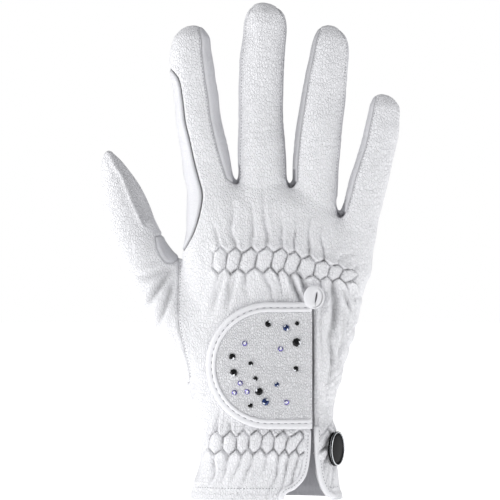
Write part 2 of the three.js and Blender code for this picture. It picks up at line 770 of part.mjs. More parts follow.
// Pull loop of the binding's end, standing on the back above the vent
function loopBody() {
  const oval = (width, height) => {
    const shape = new THREE.Path();
    shape.absellipse(0, 0, width / 2, height / 2, 0, 2 * Math.PI);
    return shape.getPoints(8);
  };
  const shape = new THREE.Shape(oval(loopWidth, loopHeight).slice(0, -1));
  shape.holes.push(new THREE.Path(oval(loopHoleWidth, loopHoleHeight).slice(0, -1)));
  const geometry = new THREE.ExtrudeGeometry(shape, { depth: loopThickness, bevelEnabled: false });
  geometry.rotateX(Math.PI / 2);
  return geometry;
}

// A flat-backed cut stone: eight-sided girdle, crown facets and a table
function stoneBody(diameter) {
  const r = diameter / 2;
  const profile = [[0, 0], [r, 0], [r, 0.22 * r], [0.58 * r, 0.62 * r], [0, 0.62 * r]];
  const points = profile.map(([x, y]) => new THREE.Vector2(x, y));
  return new THREE.LatheGeometry(points, 8);
}

function disc(profile, sides = 24) {
  return new THREE.LatheGeometry(profile.map(([x, y]) => new THREE.Vector2(x, y)), sides);
}

// Where the cuff's side faces badgeTurn degrees round from the back, and its outward direction
function badgeSeat() {
  const z = badgeUp * palmLength;
  const section = palmSection(z);
  const centre = (section.left + section.right) / 2;
  const half = (section.right - section.left) / 2;
  const turn = (badgeTurn * Math.PI) / 180;
  const out = new THREE.Vector3(Math.sin(turn), -Math.cos(turn), 0);
  let at = 0;
  let best = Infinity;
  for (const t of between(0.6, 0.995, 200)) {
    const bulge = (1 - t ** palmSquareness) ** (1 / palmSquareness);
    const nx = t ** (palmSquareness - 1) / half;
    const ny = bulge ** (palmSquareness - 1) / section.back;
    const miss = Math.abs(Math.atan2(nx, ny) - turn);
    if (miss < best) {
      best = miss;
      at = t;
    }
  }
  const point = sectionPoint(section, { at, side: -1 }, z, palmSquareness);
  return { point: point.setX(centre + half * at), out };
}

const glove = new THREE.Group();

function leather(colour, roughness = 0.6) {
  return new THREE.MeshStandardMaterial({ color: colour, roughness, metalness: 0 });
}

function addMesh(name, geometry, material, parent = glove) {
  const mesh = new THREE.Mesh(geometry, material);
  mesh.name = name;
  parent.add(mesh);
  return mesh;
}

function addPanels() {
  const cut = panels();
  const smoothParts = ["palm_panel", "thumb_gusset"];
  for (const [name, body] of Object.entries(cut)) {
    addMesh(name, geometryOf(body), leather(smoothParts.includes(name) ? white2 : white));
  }
}

function addFlap() {
  addMesh("closure_flap", flapBody(), leather(white2));
  addMesh("flap_binding", strip(flapPath(bindingWidth), bindingSection), leather(white, 0.45));
  addMesh("vent_binding_left", ventBinding(ventLeft, -1), leather(white, 0.45));
  addMesh("vent_binding_right", ventBinding(ventRight, 1), leather(white, 0.45));
  const loop = addMesh("pull_loop", loopBody(), leather(white, 0.45));
  const z = flapTop + seamGap + loopHeight / 2;
  const x = flapRight;
  const seat = onBack(x, z, loopThickness);
  loop.rotation.z = Math.atan2(backAt(x + 1, z) - backAt(x - 1, z), 2);
  loop.position.set(x, seat.y + loopThickness, z);
}

function addStones() {
  stones.forEach((stone, i) => {
    const x = flapLeft + stone.across * flapLength;
    const z = flapBottom + stone.up * flapHeight;
    const seat = onBack(x, z, flapThickness + layGap);
    const name = `stone_${String(i + 1).padStart(2, "0")}`;
    const material = new THREE.MeshStandardMaterial({
      color: stoneColours[stone.kind],
      roughness: 0.08,
      metalness: stone.kind === "jet" ? 0.5 : 0.3,
    });
    const mesh = addMesh(name, stoneBody(stone.size * stoneDiameter), material);
    mesh.position.copy(seat);
    const slopeX = (backAt(x + 1, z) - backAt(x - 1, z)) / 2;
    const slopeZ = (backAt(x, z + 1) - backAt(x, z - 1)) / 2;
    const out = new THREE.Vector3(slopeX, -1, slopeZ).normalize();
    mesh.quaternion.setFromUnitVectors(new THREE.Vector3(0, 1, 0), out);
  });
}

function addBadge() {
  const r = badgeDiameter / 2;
  const base = badgeBaseThickness;
  const seat = badgeSeat();
  const badge = new THREE.Group();
  const stand = pleatHeight + 2 * layGap;
  const postRadius = badgePostDiameter / 2;
  const black = new THREE.MeshStandardMaterial({ color: "#0c0c0e", roughness: 0.25, metalness: 0.2 });
  const steel = new THREE.MeshStandardMaterial({ color: "#b8babd", roughness: 0.2, metalness: 1 });
  const dark = new THREE.MeshStandardMaterial({ color: "#5c5e62", roughness: 0.3, metalness: 1 });
  const plate = [
    [0, 0],
    [postRadius, 0],
    [postRadius, stand],
    [r, stand],
    [r, stand + base],
    [0, stand + base],
  ];
  addMesh("badge_base", disc(plate), dark, badge);
  const rimBottom = stand + base + seamGap;
  const rimTop = rimBottom + badgeRimThickness;
  const rim = [
    [r - badgeRimWidth, rimBottom],
    [r - 0.2, rimBottom],
    [r, rimBottom + 0.3],
    [r, rimTop - 0.4],
    [r - 0.4, rimTop],
    [r - badgeRimWidth, rimTop],
    [r - badgeRimWidth, rimBottom],
  ];
  addMesh("badge_rim", disc(rim), steel, badge);
  const faceRadius = r - badgeRimWidth - seamGap;
  const faceTop = rimBottom + badgeFaceThickness;
  const face = [
    [0, rimBottom],
    [faceRadius, rimBottom],
    [faceRadius, faceTop - 0.2],
    [faceRadius * 0.6, faceTop],
    [0, faceTop + 0.1],
  ];
  addMesh("badge_face", disc(face), black, badge);
  badge.quaternion.setFromUnitVectors(new THREE.Vector3(0, 1, 0), seat.out);
  badge.position.copy(seat.point).addScaledVector(seat.out, layGap);
  glove.add(badge);
}

addPanels();
addFlap();
addStones();
addBadge();

export default glove;
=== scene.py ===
"""Riding glove for the right hand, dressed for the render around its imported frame. The hand is up along +Z,
its back faces -Y and the little finger is towards +X. Shapes are worked out in millimetres."""

import math
from functools import partial

import bmesh
import bpy
import numpy as np
from bpy.props import FloatProperty, FloatVectorProperty, IntProperty, PointerProperty
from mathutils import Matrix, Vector
from mathutils.kdtree import KDTree


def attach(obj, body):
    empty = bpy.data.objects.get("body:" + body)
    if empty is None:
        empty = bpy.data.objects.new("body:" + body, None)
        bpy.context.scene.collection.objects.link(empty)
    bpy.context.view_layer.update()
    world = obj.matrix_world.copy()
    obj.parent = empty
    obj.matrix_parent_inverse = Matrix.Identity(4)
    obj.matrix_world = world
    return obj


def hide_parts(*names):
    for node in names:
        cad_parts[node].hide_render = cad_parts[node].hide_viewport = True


bl_info = {
    "name": "Riding Glove",
    "version": (1, 0, 0),
    "blender": (4, 5, 0),
    "location": "3D View > Sidebar > Glove",
    "description": "Dresses the riding glove's frame in leather, thread, cut stones and a badge",
    "category": "Object",
}

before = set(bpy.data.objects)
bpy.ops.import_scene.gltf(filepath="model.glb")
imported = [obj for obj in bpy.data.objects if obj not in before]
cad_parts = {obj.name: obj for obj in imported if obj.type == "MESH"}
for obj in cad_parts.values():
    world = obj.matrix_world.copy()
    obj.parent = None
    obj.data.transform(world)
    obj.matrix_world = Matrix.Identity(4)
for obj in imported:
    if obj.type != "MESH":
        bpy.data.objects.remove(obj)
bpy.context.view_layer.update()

MM = 0.001

# Hand, as in the part's own tables: up is a share of the palm's length, left and right of its width,
# back and palm of its depth
PALM_LENGTH = 150.0
PALM_WIDTH = 96.0
PALM_DEPTH = 40.0
KNUCKLE_DROOP = 27.0
PALM_SQUARENESS = 2.5
PALM_ROWS = np.array([
    (0.0, 0.392, 0.379, 0.51, 0.51),
    (0.04, 0.384, 0.371, 0.51, 0.51),
    (0.13, 0.349, 0.35, 0.52, 0.5),
    (0.185, 0.343, 0.342, 0.525, 0.5),
    (0.3, 0.375, 0.338, 0.51, 0.51),
    (0.38, 0.396, 0.368, 0.49, 0.535),
    (0.47, 0.4, 0.4, 0.46, 0.55),
    (0.57, 0.41, 0.45, 0.435, 0.55),
    (0.66, 0.422, 0.48, 0.42, 0.52),
    (0.75, 0.433, 0.508, 0.4, 0.47),
    (0.81, 0.436, 0.525, 0.38, 0.43),
    (0.89, 0.412, 0.53, 0.34, 0.37),
    (0.965, 0.4, 0.525, 0.29, 0.31),
    (1.01, 0.385, 0.505, 0.21, 0.22),
    (1.037, 0.35, 0.47, 0.1, 0.11),
])

# Fingers: up is a share of the finger's length, across of the palm's width, half of the finger's width
FINGER_FLATNESS = 0.86
FINGER_SQUARENESS = 2.2
FINGER_CURL = 8.0
FINGERS = {
    "index": (0.771, 118.0, 24.6, np.array([
        (0.0, -0.27, 0.46), (0.3, -0.287, 0.49), (0.39, -0.311, 0.5), (0.494, -0.332, 0.498),
        (0.6, -0.357, 0.466), (0.7, -0.37, 0.447), (0.8, -0.389, 0.439), (0.893, -0.396, 0.39),
        (0.944, -0.391, 0.35), (0.976, -0.387, 0.25), (0.993, -0.384, 0.15), (1.0, -0.383, 0.03),
    ])),
    "middle": (0.788, 127.0, 24.0, np.array([
        (0.0, -0.016, 0.46), (0.3, -0.026, 0.5), (0.44, -0.03, 0.492), (0.6, -0.036, 0.458),
        (0.76, -0.031, 0.455), (0.903, -0.012, 0.437), (0.95, -0.011, 0.388), (0.978, -0.017, 0.275),
        (0.9935, -0.023, 0.16), (1.0, -0.025, 0.03),
    ])),
    "ring": (0.753, 121.0, 23.6, np.array([
        (0.0, 0.23, 0.46), (0.2, 0.237, 0.49), (0.36, 0.243, 0.492), (0.504, 0.253, 0.5),
        (0.603, 0.268, 0.478), (0.702, 0.285, 0.458), (0.802, 0.3, 0.424), (0.893, 0.317, 0.394),
        (0.942, 0.319, 0.343), (0.976, 0.315, 0.24), (0.993, 0.312, 0.145), (1.0, 0.311, 0.03),
    ])),
    "little": (0.656, 101.0, 20.6, np.array([
        (0.0, 0.37, 0.43), (0.19, 0.421, 0.485), (0.287, 0.448, 0.505), (0.403, 0.471, 0.495),
        (0.52, 0.504, 0.497), (0.638, 0.536, 0.47), (0.69, 0.55, 0.454), (0.807, 0.582, 0.427),
        (0.87, 0.59, 0.393), (0.933, 0.6, 0.36), (0.972, 0.595, 0.26), (0.9915, 0.589, 0.155),
        (1.0, 0.586, 0.03),
    ])),
}

# Thumb: left and right are shares of its spread, depth of its depth, forward of its way to the palm
THUMB_LENGTH = 129.0
THUMB_SPREAD = 83.0
THUMB_DEPTH = 36.0
THUMB_FORWARD = 16.0
THUMB_SQUARENESS = 2.1
THUMB_ROWS = np.array([
    (0.0, 0.4, 0.12, 0.38, 0.25),
    (0.078, 0.443, 0.1, 0.44, 0.28),
    (0.14, 0.49, 0.1, 0.48, 0.31),
    (0.217, 0.569, 0.12, 0.5, 0.38),
    (0.295, 0.655, 0.18, 0.486, 0.44),
    (0.372, 0.734, 0.265, 0.458, 0.5),
    (0.45, 0.804, 0.345, 0.417, 0.59),
    (0.527, 0.856, 0.425, 0.383, 0.69),
    (0.589, 0.901, 0.515, 0.356, 0.76),
    (0.659, 0.947, 0.605, 0.333, 0.83),
    (0.729, 0.971, 0.665, 0.317, 0.89),
    (0.798, 0.983, 0.714, 0.3, 0.94),
    (0.868, 0.993, 0.765, 0.272, 0.98),
    (0.93, 0.995, 0.835, 0.217, 1.0),
    (0.969, 0.988, 0.888, 0.15, 1.0),
    (0.99, 0.978, 0.924, 0.085, 1.0),
    (1.0, 0.96, 0.945, 0.02, 1.0),
])
THUMB_ROOT = 0.28 * PALM_LENGTH
CURL_START = 0.87 * PALM_LENGTH
CURL_END = 0.788 * PALM_LENGTH + 127.0

# Seams in the plane that faces the viewer: across is a share of the palm's width, up of its length
WRAP_SEAM = [
    (-0.5, 1.413), (-0.454, 1.365), (-0.429, 1.245), (-0.406, 1.176), (-0.383, 1.111), (-0.357, 1.052),
    (-0.337, 1.003), (-0.342, 0.961), (-0.362, 0.908), (-0.388, 0.866), (-0.424, 0.823), (-0.46, 0.79),
]
THUMB_SEAM = [
    (-0.52, 1.2), (-0.475, 0.83), (-0.459, 0.79), (-0.459, 0.61), (-0.443, 0.53), (-0.41, 0.44),
    (-0.405, 0.38),
]
GUSSET = [(-0.58, 0.862), (-0.5, 0.875), (-0.44, 0.84), (-0.457, 0.79), (-0.492, 0.774), (-0.524, 0.776),
          (-0.553, 0.8), (-0.57, 0.828)]
# Seams along each finger: shares of its half width, left and right, past 1 where none shows
FINGER_SEAMS = {"index": (-1.1, 0.55), "middle": (-0.97, 0.97), "ring": (-0.8, 0.97),
                "little": (-0.72, 1.1)}
CROTCHES = [
    ("index", "middle", -0.161, 1.03, "fourchette_index_middle"),
    ("middle", "ring", 0.119, 1.022, "fourchette_middle_ring"),
    ("ring", "little", 0.374, 0.924, "fourchette_ring_little"),
]
NOTCH_RADIUS = 1.7

# Flap, its vent and its stones: across is a share of the flap's length, up of the palm's length for the
# vent and of the flap's height for the stones, size of the largest stone's diameter
FLAP_HEIGHT = 61.8
FLAP_LENGTH = 52.0
FLAP_RIGHT = 0.225 * PALM_WIDTH
FLAP_LEFT = FLAP_RIGHT - FLAP_LENGTH
FLAP_BOTTOM = 0.2353 * PALM_LENGTH
FLAP_TOP = FLAP_BOTTOM + FLAP_HEIGHT
VENT_LEFT = [(-0.02, 0.23), (-0.03, 0.147), (-0.068, 0.082), (-0.16, 0.043), (-0.26, 0.02), (-0.3, -0.05)]
VENT_RIGHT = [(0.02, 0.245), (0.024, 0.196), (0.033, 0.137), (0.068, 0.065), (0.13, 0.02), (0.2, 0.0),
              (0.3, -0.05)]
VENT_WIDTH = 1.2
STONE_DIAMETER = 4.4
STONES = [
    (0.586, 0.828, 0.75, "jet"), (0.754, 0.798, 0.75, "blue"), (0.856, 0.832, 0.52, "jet"),
    (0.853, 0.682, 1.0, "jet"), (0.702, 0.631, 0.61, "violet"), (0.366, 0.674, 0.61, "violet"),
    (0.249, 0.569, 0.77, "jet"), (0.422, 0.515, 0.57, "jet"), (0.263, 0.443, 0.89, "jet"),
    (0.466, 0.397, 0.57, "jet"), (0.845, 0.474, 0.64, "jet"), (0.323, 0.363, 0.61, "violet"),
    (0.665, 0.352, 0.57, "blue"), (0.27, 0.288, 0.61, "violet"), (0.388, 0.295, 0.61, "violet"),
    (0.499, 0.297, 0.91, "jet"), (0.56, 0.216, 0.84, "blue"), (0.418, 0.189, 0.59, "jet"),
    (0.756, 0.211, 0.61, "violet"),
]
SEAM_GAP = 0.3
LAY_GAP = 0.3
# The flap lies on a bed at a share of the height that the solids' gathers have
BED = 0.6 * 1.8
# Further out than any of the back's surface, and how high a stitch's thread lies over the leather
OUTSIDE = 34.0
THREAD_LIE = 0.12
# Cells of a gathered band differ in height and reach, drawn for this many and then repeated
DRAWN_CELLS = 97
BADGE_TURN = math.radians(66)
BADGE_HEIGHT = (0.183 - 0.016) * PALM_LENGTH

# Gathered bands: nominal height of the middle, half height, place of one cell's middle, pitch, left and
# right ends, height of the zigzag, reach of the pleats above and below
BANDS = [
    {"z": 117.4, "half": 5.2, "x": -8.9, "pitch": 7.03, "left": -30.0, "right": 47.0, "zig": 1.5,
     "up": 29.0, "down": 19.0},
    {"z": 28.6, "half": 4.4, "x": -12.3, "pitch": 6.3, "left": -32.0, "right": 42.0, "zig": 1.6,
     "up": 11.0, "down": 24.0},
]

# Folds of the filled glove, seen from the back: ends and points in millimetres, depth, half width
FOLDS = [
    ([(10.5, 111.5), (13.5, 103.5), (17.5, 95.0)], 2.4, 0.9),
    ([(15.0, 112.0), (18.5, 102.0)], 1.8, 0.8),
    ([(31.5, 109.0), (33.5, 99.0), (33.0, 90.0), (30.5, 79.0)], 2.5, 2.0),
    ([(36.5, 104.0), (38.5, 97.0), (42.0, 91.0)], 1.0, 0.9),
    ([(30.0, 84.0), (31.5, 70.0), (29.0, 56.0)], 1.1, 1.2),
    ([(37.0, 96.0), (36.5, 80.0), (33.0, 62.0)], 0.8, 1.3),
    ([(26.5, 100.0), (25.5, 84.0), (26.5, 66.0)], 0.5, 0.9),
    ([(-47.0, 114.0), (-53.0, 105.0), (-60.0, 95.0)], 1.9, 1.7),
    ([(-46.0, 108.0), (-50.0, 96.0), (-55.0, 83.0)], 1.6, 1.5),
    ([(-47.0, 114.0), (-57.0, 110.0), (-64.0, 108.0)], 0.9, 1.6),
    ([(-15.5, 113.0), (-18.0, 103.0), (-20.5, 93.0)], 0.9, 1.5),
    ([(-21.0, 112.0), (-25.0, 101.0), (-28.0, 90.0)], 0.7, 1.5),
    ([(-36.0, 60.0), (-39.0, 48.0), (-37.0, 36.0)], 0.8, 2.4),
    ([(-33.0, 32.0), (-35.0, 20.0), (-36.0, 9.0)], 0.7, 2.2),
]

# Creases that a closing hand leaves in the palm: points, depth, half width
PALM_CREASES = [
    ([(-30, 112), (-10, 108), (18, 112), (40, 104)], 0.9, 1.3),
    ([(-38, 104), (-20, 84), (2, 78), (24, 70)], 0.8, 1.5),
    ([(-38, 100), (-26, 80), (-18, 56), (-18, 38)], 1.1, 1.7),
]

# Finger joints: share of the finger's length, strength of the creases over it
JOINTS = ((0.5, 1.0), (0.75, 0.8))

# The thumb's ridge, where its two halves meet, from the tip down to the crotch
THUMB_RIDGE = [(-80.5, 171.5), (-79.0, 170.0), (-76.0, 164.0), (-72.0, 158.0), (-69.0, 150.0), (-66.0, 142.5),
               (-62.5, 135.0), (-57.5, 131.0)]


def mm(name, value, text):
    return FloatProperty(name=name, description=text, default=value * MM, unit="LENGTH", precision=5)


def power(name, value, text):
    return FloatProperty(name=name, description=text, default=value, unit="POWER")


def paint(name, value, text):
    return FloatVectorProperty(name=name, description=text, default=colour(value), subtype="COLOR", size=3)


def colour(value):
    """Linear colour of an sRGB hex value"""
    parts = [int(value[i:i + 2], 16) / 255 for i in (1, 3, 5)]
    return tuple(c / 12.92 if c <= 0.04045 else ((c + 0.055) / 1.055) ** 2.4 for c in parts)


class GloveSizes(bpy.types.PropertyGroup):
    """Sizes of the glove's leather, trims and hardware"""

    wall: mm("Leather", 1.2, "Thickness of the leather")
    mesh_step: mm("Mesh step", 1.3, "Spacing of the skin's mesh before it is subdivided once")
    cell_height: mm("Cell height", 1.6, "How far a gathered cell puffs up")
    pleat_height: mm("Pleat height", 2.8, "How far a pleat stands beside a gathered band")
    seam_depth: mm("Seam depth", 0.5, "How far the leather rolls in at a seam")
    flap_thickness: mm("Flap", 1.5, "Thickness of the closure flap")
    binding_width: mm("Binding width", 4.8, "Width of the flap's binding")
    binding_thickness: mm("Binding thickness", 1.7, "Thickness of the flap's binding")
    bead_width: mm("Bead width", 1.9, "Width of the bead along the binding's inner edge")
    bead_height: mm("Bead height", 0.6, "How far the bead stands proud")
    loop_width: mm("Loop width", 10.4, "Width of the pull loop")
    loop_height: mm("Loop height", 11.6, "Height of the pull loop")
    loop_thickness: mm("Loop thickness", 2.6, "How far the pull loop stands off the back")
    badge_diameter: mm("Badge", 17.0, "Diameter of the badge")
    stitch_pitch: mm("Stitch pitch", 1.55, "Distance from one stitch to the next")
    stitch_length: mm("Stitch length", 1.0, "Length of the thread that shows in a stitch")
    thread: mm("Thread", 0.4, "Thickness of the thread")
    flap_stitch_pitch: mm("Flap stitch pitch", 3.3, "Distance from one stitch of the binding to the next")
    flap_stitch_length: mm("Flap stitch length", 1.9, "Length of the thread in a stitch of the binding")
    flap_thread: mm("Flap thread", 0.42, "Thickness of the binding's thread")


class GloveColours(bpy.types.PropertyGroup):
    """Colours of the glove's finishes"""

    grained: paint("Grained leather", "#f3f3f6", "White grained leather of the back and thumb")
    smooth: paint("Smooth leather", "#e0e0e4", "White smooth leather of the palm and finger sides")
    flap: paint("Flap leather", "#ededf0", "Grey-white leather of the flap")
    binding: paint("Binding", "#e9e9ec", "White smooth binding")
    # The lining's grey is partly its own colour and partly painted shade of the glove's inside, seen through
    # the vent
    lining: paint("Lining", "#b0b0b5", "Brushed lining inside the glove")
    # The thread is painted grey as painted shade of its stitch holes
    thread: paint("Thread", "#a9a9ae", "Sewing thread")
    steel: paint("Steel", "#c4c6c9", "Polished steel of the badge")
    enamel: paint("Enamel", "#08080a", "Black enamel of the badge")
    jet: paint("Jet", "#08090b", "Black cut glass")
    blue: paint("Blue", "#16356f", "Blue cut glass")
    violet: paint("Violet", "#5d4fa6", "Pale violet cut glass")


class GloveStage(bpy.types.PropertyGroup):
    """Camera and lights"""

    distance: mm("Camera distance", 1600.0, "From the camera to the glove's back")
    view_height: mm("View height", 245.0, "Height of the view at the glove's back")
    aim_across: mm("Aim across", -8.8, "Sideways place of the view's middle")
    aim_up: mm("Aim up", 122.5, "Height of the view's middle")
    key: power("Key", 5.6, "Power of the soft light in front")
    fill: power("Sides", 3.8, "Power of the soft lights at both sides")
    air: FloatProperty(name="Air", description="Strength of the light from all around", default=0.34)
    seed: IntProperty(name="Seed", description="Seed of the stitches' small differences", default=7)


# ---------------------------------------------------------------- shape of the filled hand


def column(rows, index, at):
    """Smooth value of a table's column, with slopes that never overshoot its rows"""
    ups, values = rows[:, 0], rows[:, index]
    at = np.clip(at, ups[0], ups[-1])
    steps = np.diff(ups)
    slopes = np.diff(values) / steps
    before, after = slopes[:-1], slopes[1:]
    total = np.where(before * after > 0, before + after, 1)
    inner = np.where(before * after > 0, 2 * before * after / total, 0)
    tangents = np.concatenate([[slopes[0]], inner, [slopes[-1]]])
    i = np.clip(np.searchsorted(ups, at, side="right") - 1, 0, len(steps) - 1)
    h = steps[i]
    t = (at - ups[i]) / h
    rise = (2 * t**3 - 3 * t**2 + 1) * values[i] + (3 * t**2 - 2 * t**3) * values[i + 1]
    return rise + h * (t**3 - 2 * t**2 + t) * tangents[i] + h * (t**3 - t**2) * tangents[i + 1]


def smooth(value):
    """0 below 0, 1 above 1 and a soft rise between"""
    t = np.clip(value, 0, 1)
    return t * t * (3 - 2 * t)


def curl(z):
    """How far the fingers curl towards the palm at a height"""
    return FINGER_CURL * np.maximum(0, (z - CURL_START) / (CURL_END - CURL_START)) ** 1.6


def droop(x, z):
    """The knuckles stand lower towards the little finger"""
    side = np.maximum(0, (x - 0.083 * PALM_WIDTH) / (0.46 * PALM_WIDTH))
    return KNUCKLE_DROOP * side**1.2 * smooth((z / PALM_LENGTH - 0.63) / 0.38)


def nominal(x, z):
    """Height in the palm's tables of a place on the drooped hand"""
    level = z.copy()
    for _ in range(12):
        level = 0.5 * level + 0.5 * (z + droop(x, level))
    return level


def palm_section(z):
    """A limb's section: left and right edges, depths to the back and the palm, and place of its middle"""
    up = z / PALM_LENGTH
    return (-PALM_WIDTH * column(PALM_ROWS, 1, up), PALM_WIDTH * column(PALM_ROWS, 2, up),
            PALM_DEPTH * column(PALM_ROWS, 3, up), PALM_DEPTH * column(PALM_ROWS, 4, up), np.zeros_like(z))


def finger_section(name, z):
    root, length, width, rows = FINGERS[name]
    up = (z - root * PALM_LENGTH) / length
    half = width * column(rows, 2, up)
    centre = PALM_WIDTH * column(rows, 1, up)
    depth = half * FINGER_FLATNESS
    return centre - half, centre + half, depth, depth, curl(z)


def thumb_section(z):
    up = (z - THUMB_ROOT) / THUMB_LENGTH
    left, right = -THUMB_SPREAD * column(THUMB_ROWS, 1, up), -THUMB_SPREAD * column(THUMB_ROWS, 2, up)
    depth = THUMB_DEPTH * column(THUMB_ROWS, 3, up)
    return left, right, depth, depth, THUMB_FORWARD * column(THUMB_ROWS, 4, up)


def limb(x, y, section, squareness):
    """Rough distance to a limb's surface, negative inside"""
    left, right, back, palm, middle = section
    half = np.maximum((right - left) / 2, 0.2)
    depth = np.maximum(np.where(y < middle, back, palm), 0.2)
    a = np.abs(x - (left + right) / 2) / half
    b = np.abs(y - middle) / depth
    p = np.maximum((a**squareness + b**squareness) ** (1 / squareness), 1e-6)
    power = squareness - 1
    slope = np.sqrt((a**power / half) ** 2 + (b**power / depth) ** 2) / p**power
    return (p - 1) / np.maximum(slope, 0.5 / np.maximum(half, depth))


def blend(a, b, width):
    """Union of two shapes, rounded where they meet"""
    mix = np.clip(0.5 + 0.5 * (b - a) / width, 0, 1)
    return b + (a - b) * mix - width * mix * (1 - mix)


def hand(points):
    """Rough distance to the surface of the filled hand"""
    x, y, z = points[..., 0], points[..., 1], points[..., 2]
    level = nominal(x, z)
    shape = limb(x, y, palm_section(level), PALM_SQUARENESS)
    shape = np.maximum(shape, level - 1.037 * PALM_LENGTH)
    fingers = None
    for name, (root, length, _, _) in FINGERS.items():
        finger = limb(x, y, finger_section(name, z), FINGER_SQUARENESS)
        start = root * PALM_LENGTH
        finger = np.maximum(finger, np.maximum(z - start - length, start - z))
        fingers = finger if fingers is None else blend(fingers, finger, 0.8)
    shape = blend(shape, fingers, 4.5)
    thumb = limb(x, y, thumb_section(z), THUMB_SQUARENESS)
    thumb = np.maximum(thumb, np.maximum(z - THUMB_ROOT - THUMB_LENGTH, THUMB_ROOT - z))
    shape = blend(shape, thumb, 7.0)
    for _, _, across, up, _ in CROTCHES:
        low = up * PALM_LENGTH
        slot = np.hypot(x - across * PALM_WIDTH, np.minimum(z - low - NOTCH_RADIUS, 0)) - NOTCH_RADIUS
        slot = np.maximum(slot, np.maximum(y - 1.5, z - low - 9))
        shape = -blend(-shape, slot, 1.2)
    return shape


def slope_of(points):
    """Outward direction of the hand's surface and how fast the distance grows along it"""
    step = 0.25
    grad = np.empty_like(points)
    for axis in range(3):
        move = np.zeros(3)
        move[axis] = step
        grad[:, axis] = (hand(points + move) - hand(points - move)) / (2 * step)
    size = np.maximum(np.linalg.norm(grad, axis=1, keepdims=True), 1e-6)
    return grad / size, size[:, 0]


def settle(points, rounds=3, most=0.8):
    """Moves points onto the hand's surface"""
    for _ in range(rounds):
        normal, size = slope_of(points)
        step = np.clip(hand(points) / np.maximum(size, 0.4), -most, most)
        points = points - normal * step[:, None]
    return points


def skin_at(x, z):
    """Points of the back's smooth surface at places in the facing plane, found by halving"""
    x, z = np.asarray(x, float), np.asarray(z, float)
    far = np.full_like(x, -OUTSIDE)
    near = np.where(x < -0.5 * PALM_WIDTH, 0.3 * THUMB_FORWARD, 0.0) + curl(z)
    for _ in range(26):
        middle = (far + near) / 2
        inside = hand(np.stack([x, middle, z], -1)) < 0
        near = np.where(inside, middle, near)
        far = np.where(inside, far, middle)
    return np.stack([x, (far + near) / 2, z], -1)


# ---------------------------------------------------------------- gathers, folds and creases


def scatter(seed, cell):
    """A number of 0 to 1 for each gathered cell"""
    return np.random.default_rng(seed).random(DRAWN_CELLS)[(cell.astype(int) + 40) % DRAWN_CELLS]


def lumps(points, size, seed):
    """Soft uneven field of about -1 to 1 whose bumps are about as wide as size"""
    rng = np.random.default_rng(seed)
    total = np.zeros(len(points))
    for _ in range(14):
        way = rng.normal(size=3)
        way *= rng.uniform(0.6, 1.4) / (np.linalg.norm(way) * size)
        total += np.sin(points @ way * math.pi + rng.uniform(0, 2 * math.pi))
    return total / 4.2


def path_distance(x, z, path):
    """Distance to a polyline in the facing plane, the share of the way along it and the side"""
    path = np.asarray(path, float)
    runs = np.linalg.norm(np.diff(path, axis=0), axis=1)
    total = runs.sum()
    best = np.full(x.shape, 1e9)
    share = np.zeros_like(best)
    side = np.zeros_like(best)
    done = 0.0
    for a, b, run in zip(path[:-1], path[1:], runs):
        d = (b - a) / run
        t = np.clip((x - a[0]) * d[0] + (z - a[1]) * d[1], 0, run)
        off = np.hypot(x - a[0] - t * d[0], z - a[1] - t * d[1])
        near = off < best
        best = np.where(near, off, best)
        share = np.where(near, (done + t) / total, share)
        side = np.where(near, np.sign((x - a[0]) * d[1] - (z - a[1]) * d[0]), side)
        done += run
    return best, share, side


def fold_lift(x, z):
    """Long folds, each with a soft shoulder at either side, and painted shade along their bottoms"""
    lift = np.zeros_like(x)
    painted_dark = np.zeros_like(x)
    for path, depth, width in FOLDS:
        off, share, _ = path_distance(x, z, path)
        ends = np.sin(np.pi * np.clip(share, 0, 1)) ** 0.6
        off = off / width
        lift += depth * ends * (0.4 * np.exp(-((off - 2.1) / 1.1) ** 2) - np.exp(-off * off))
        # Painted shade in the bottom of each fold
        painted_dark += min(0.5, 0.33 * depth / width) * ends * np.exp(-((off / 0.8) ** 2))
    return lift, painted_dark


def band_phase(band, x, away):
    """Which gathered cell a place belongs to: cells lean right, pleats fan out above and below"""
    hand_band = band["z"] > 60
    right = smooth((x + 8) / 30)
    if hand_band:
        lean = 0.12 + 0.26 * right
        above = -0.38 + 0.36 * smooth((x + 28) / 22) + 0.5 * smooth((x - 26) / 14)
        below = 0.16 - 0.62 * smooth((x + 16) / 22) + 0.5 * smooth((x - 20) / 12)
    else:
        lean = 0.1 + 0.4 * smooth((x - 2) / 12)
        above, below = 0.25, 0.34
    half = band["half"]
    inside = np.clip(away, -half, half)
    over = np.maximum(0, away - half)
    under = np.maximum(0, -half - away)
    moved = x - lean * inside - above * over * 0.8 + below * under * 0.9
    return (moved - band["x"]) / band["pitch"]


def band_frame(points, number):
    """Height above a band's middle, cell count across it, and how far its zigzag rows are off its middle"""
    band = BANDS[number]
    x, z = points[:, 0], points[:, 2]
    slope = 0.06 if band["z"] > 60 else 0.0
    away = nominal(x, z) - band["z"] + slope * np.maximum(0, x) + 0.5 * lumps(points, 14.0, 51 + number)
    wander = 0.2 * lumps(points, 9.0, 31 + number) * smooth((np.abs(away) - 4) / 10)
    wander += 0.13 * lumps(points, 12.0, 35 + number)
    phase = band_phase(band, x, away) + wander
    tri = 1 - 4 * np.abs(phase - np.round(phase))
    return away, phase, band["half"] + band["zig"] * tri


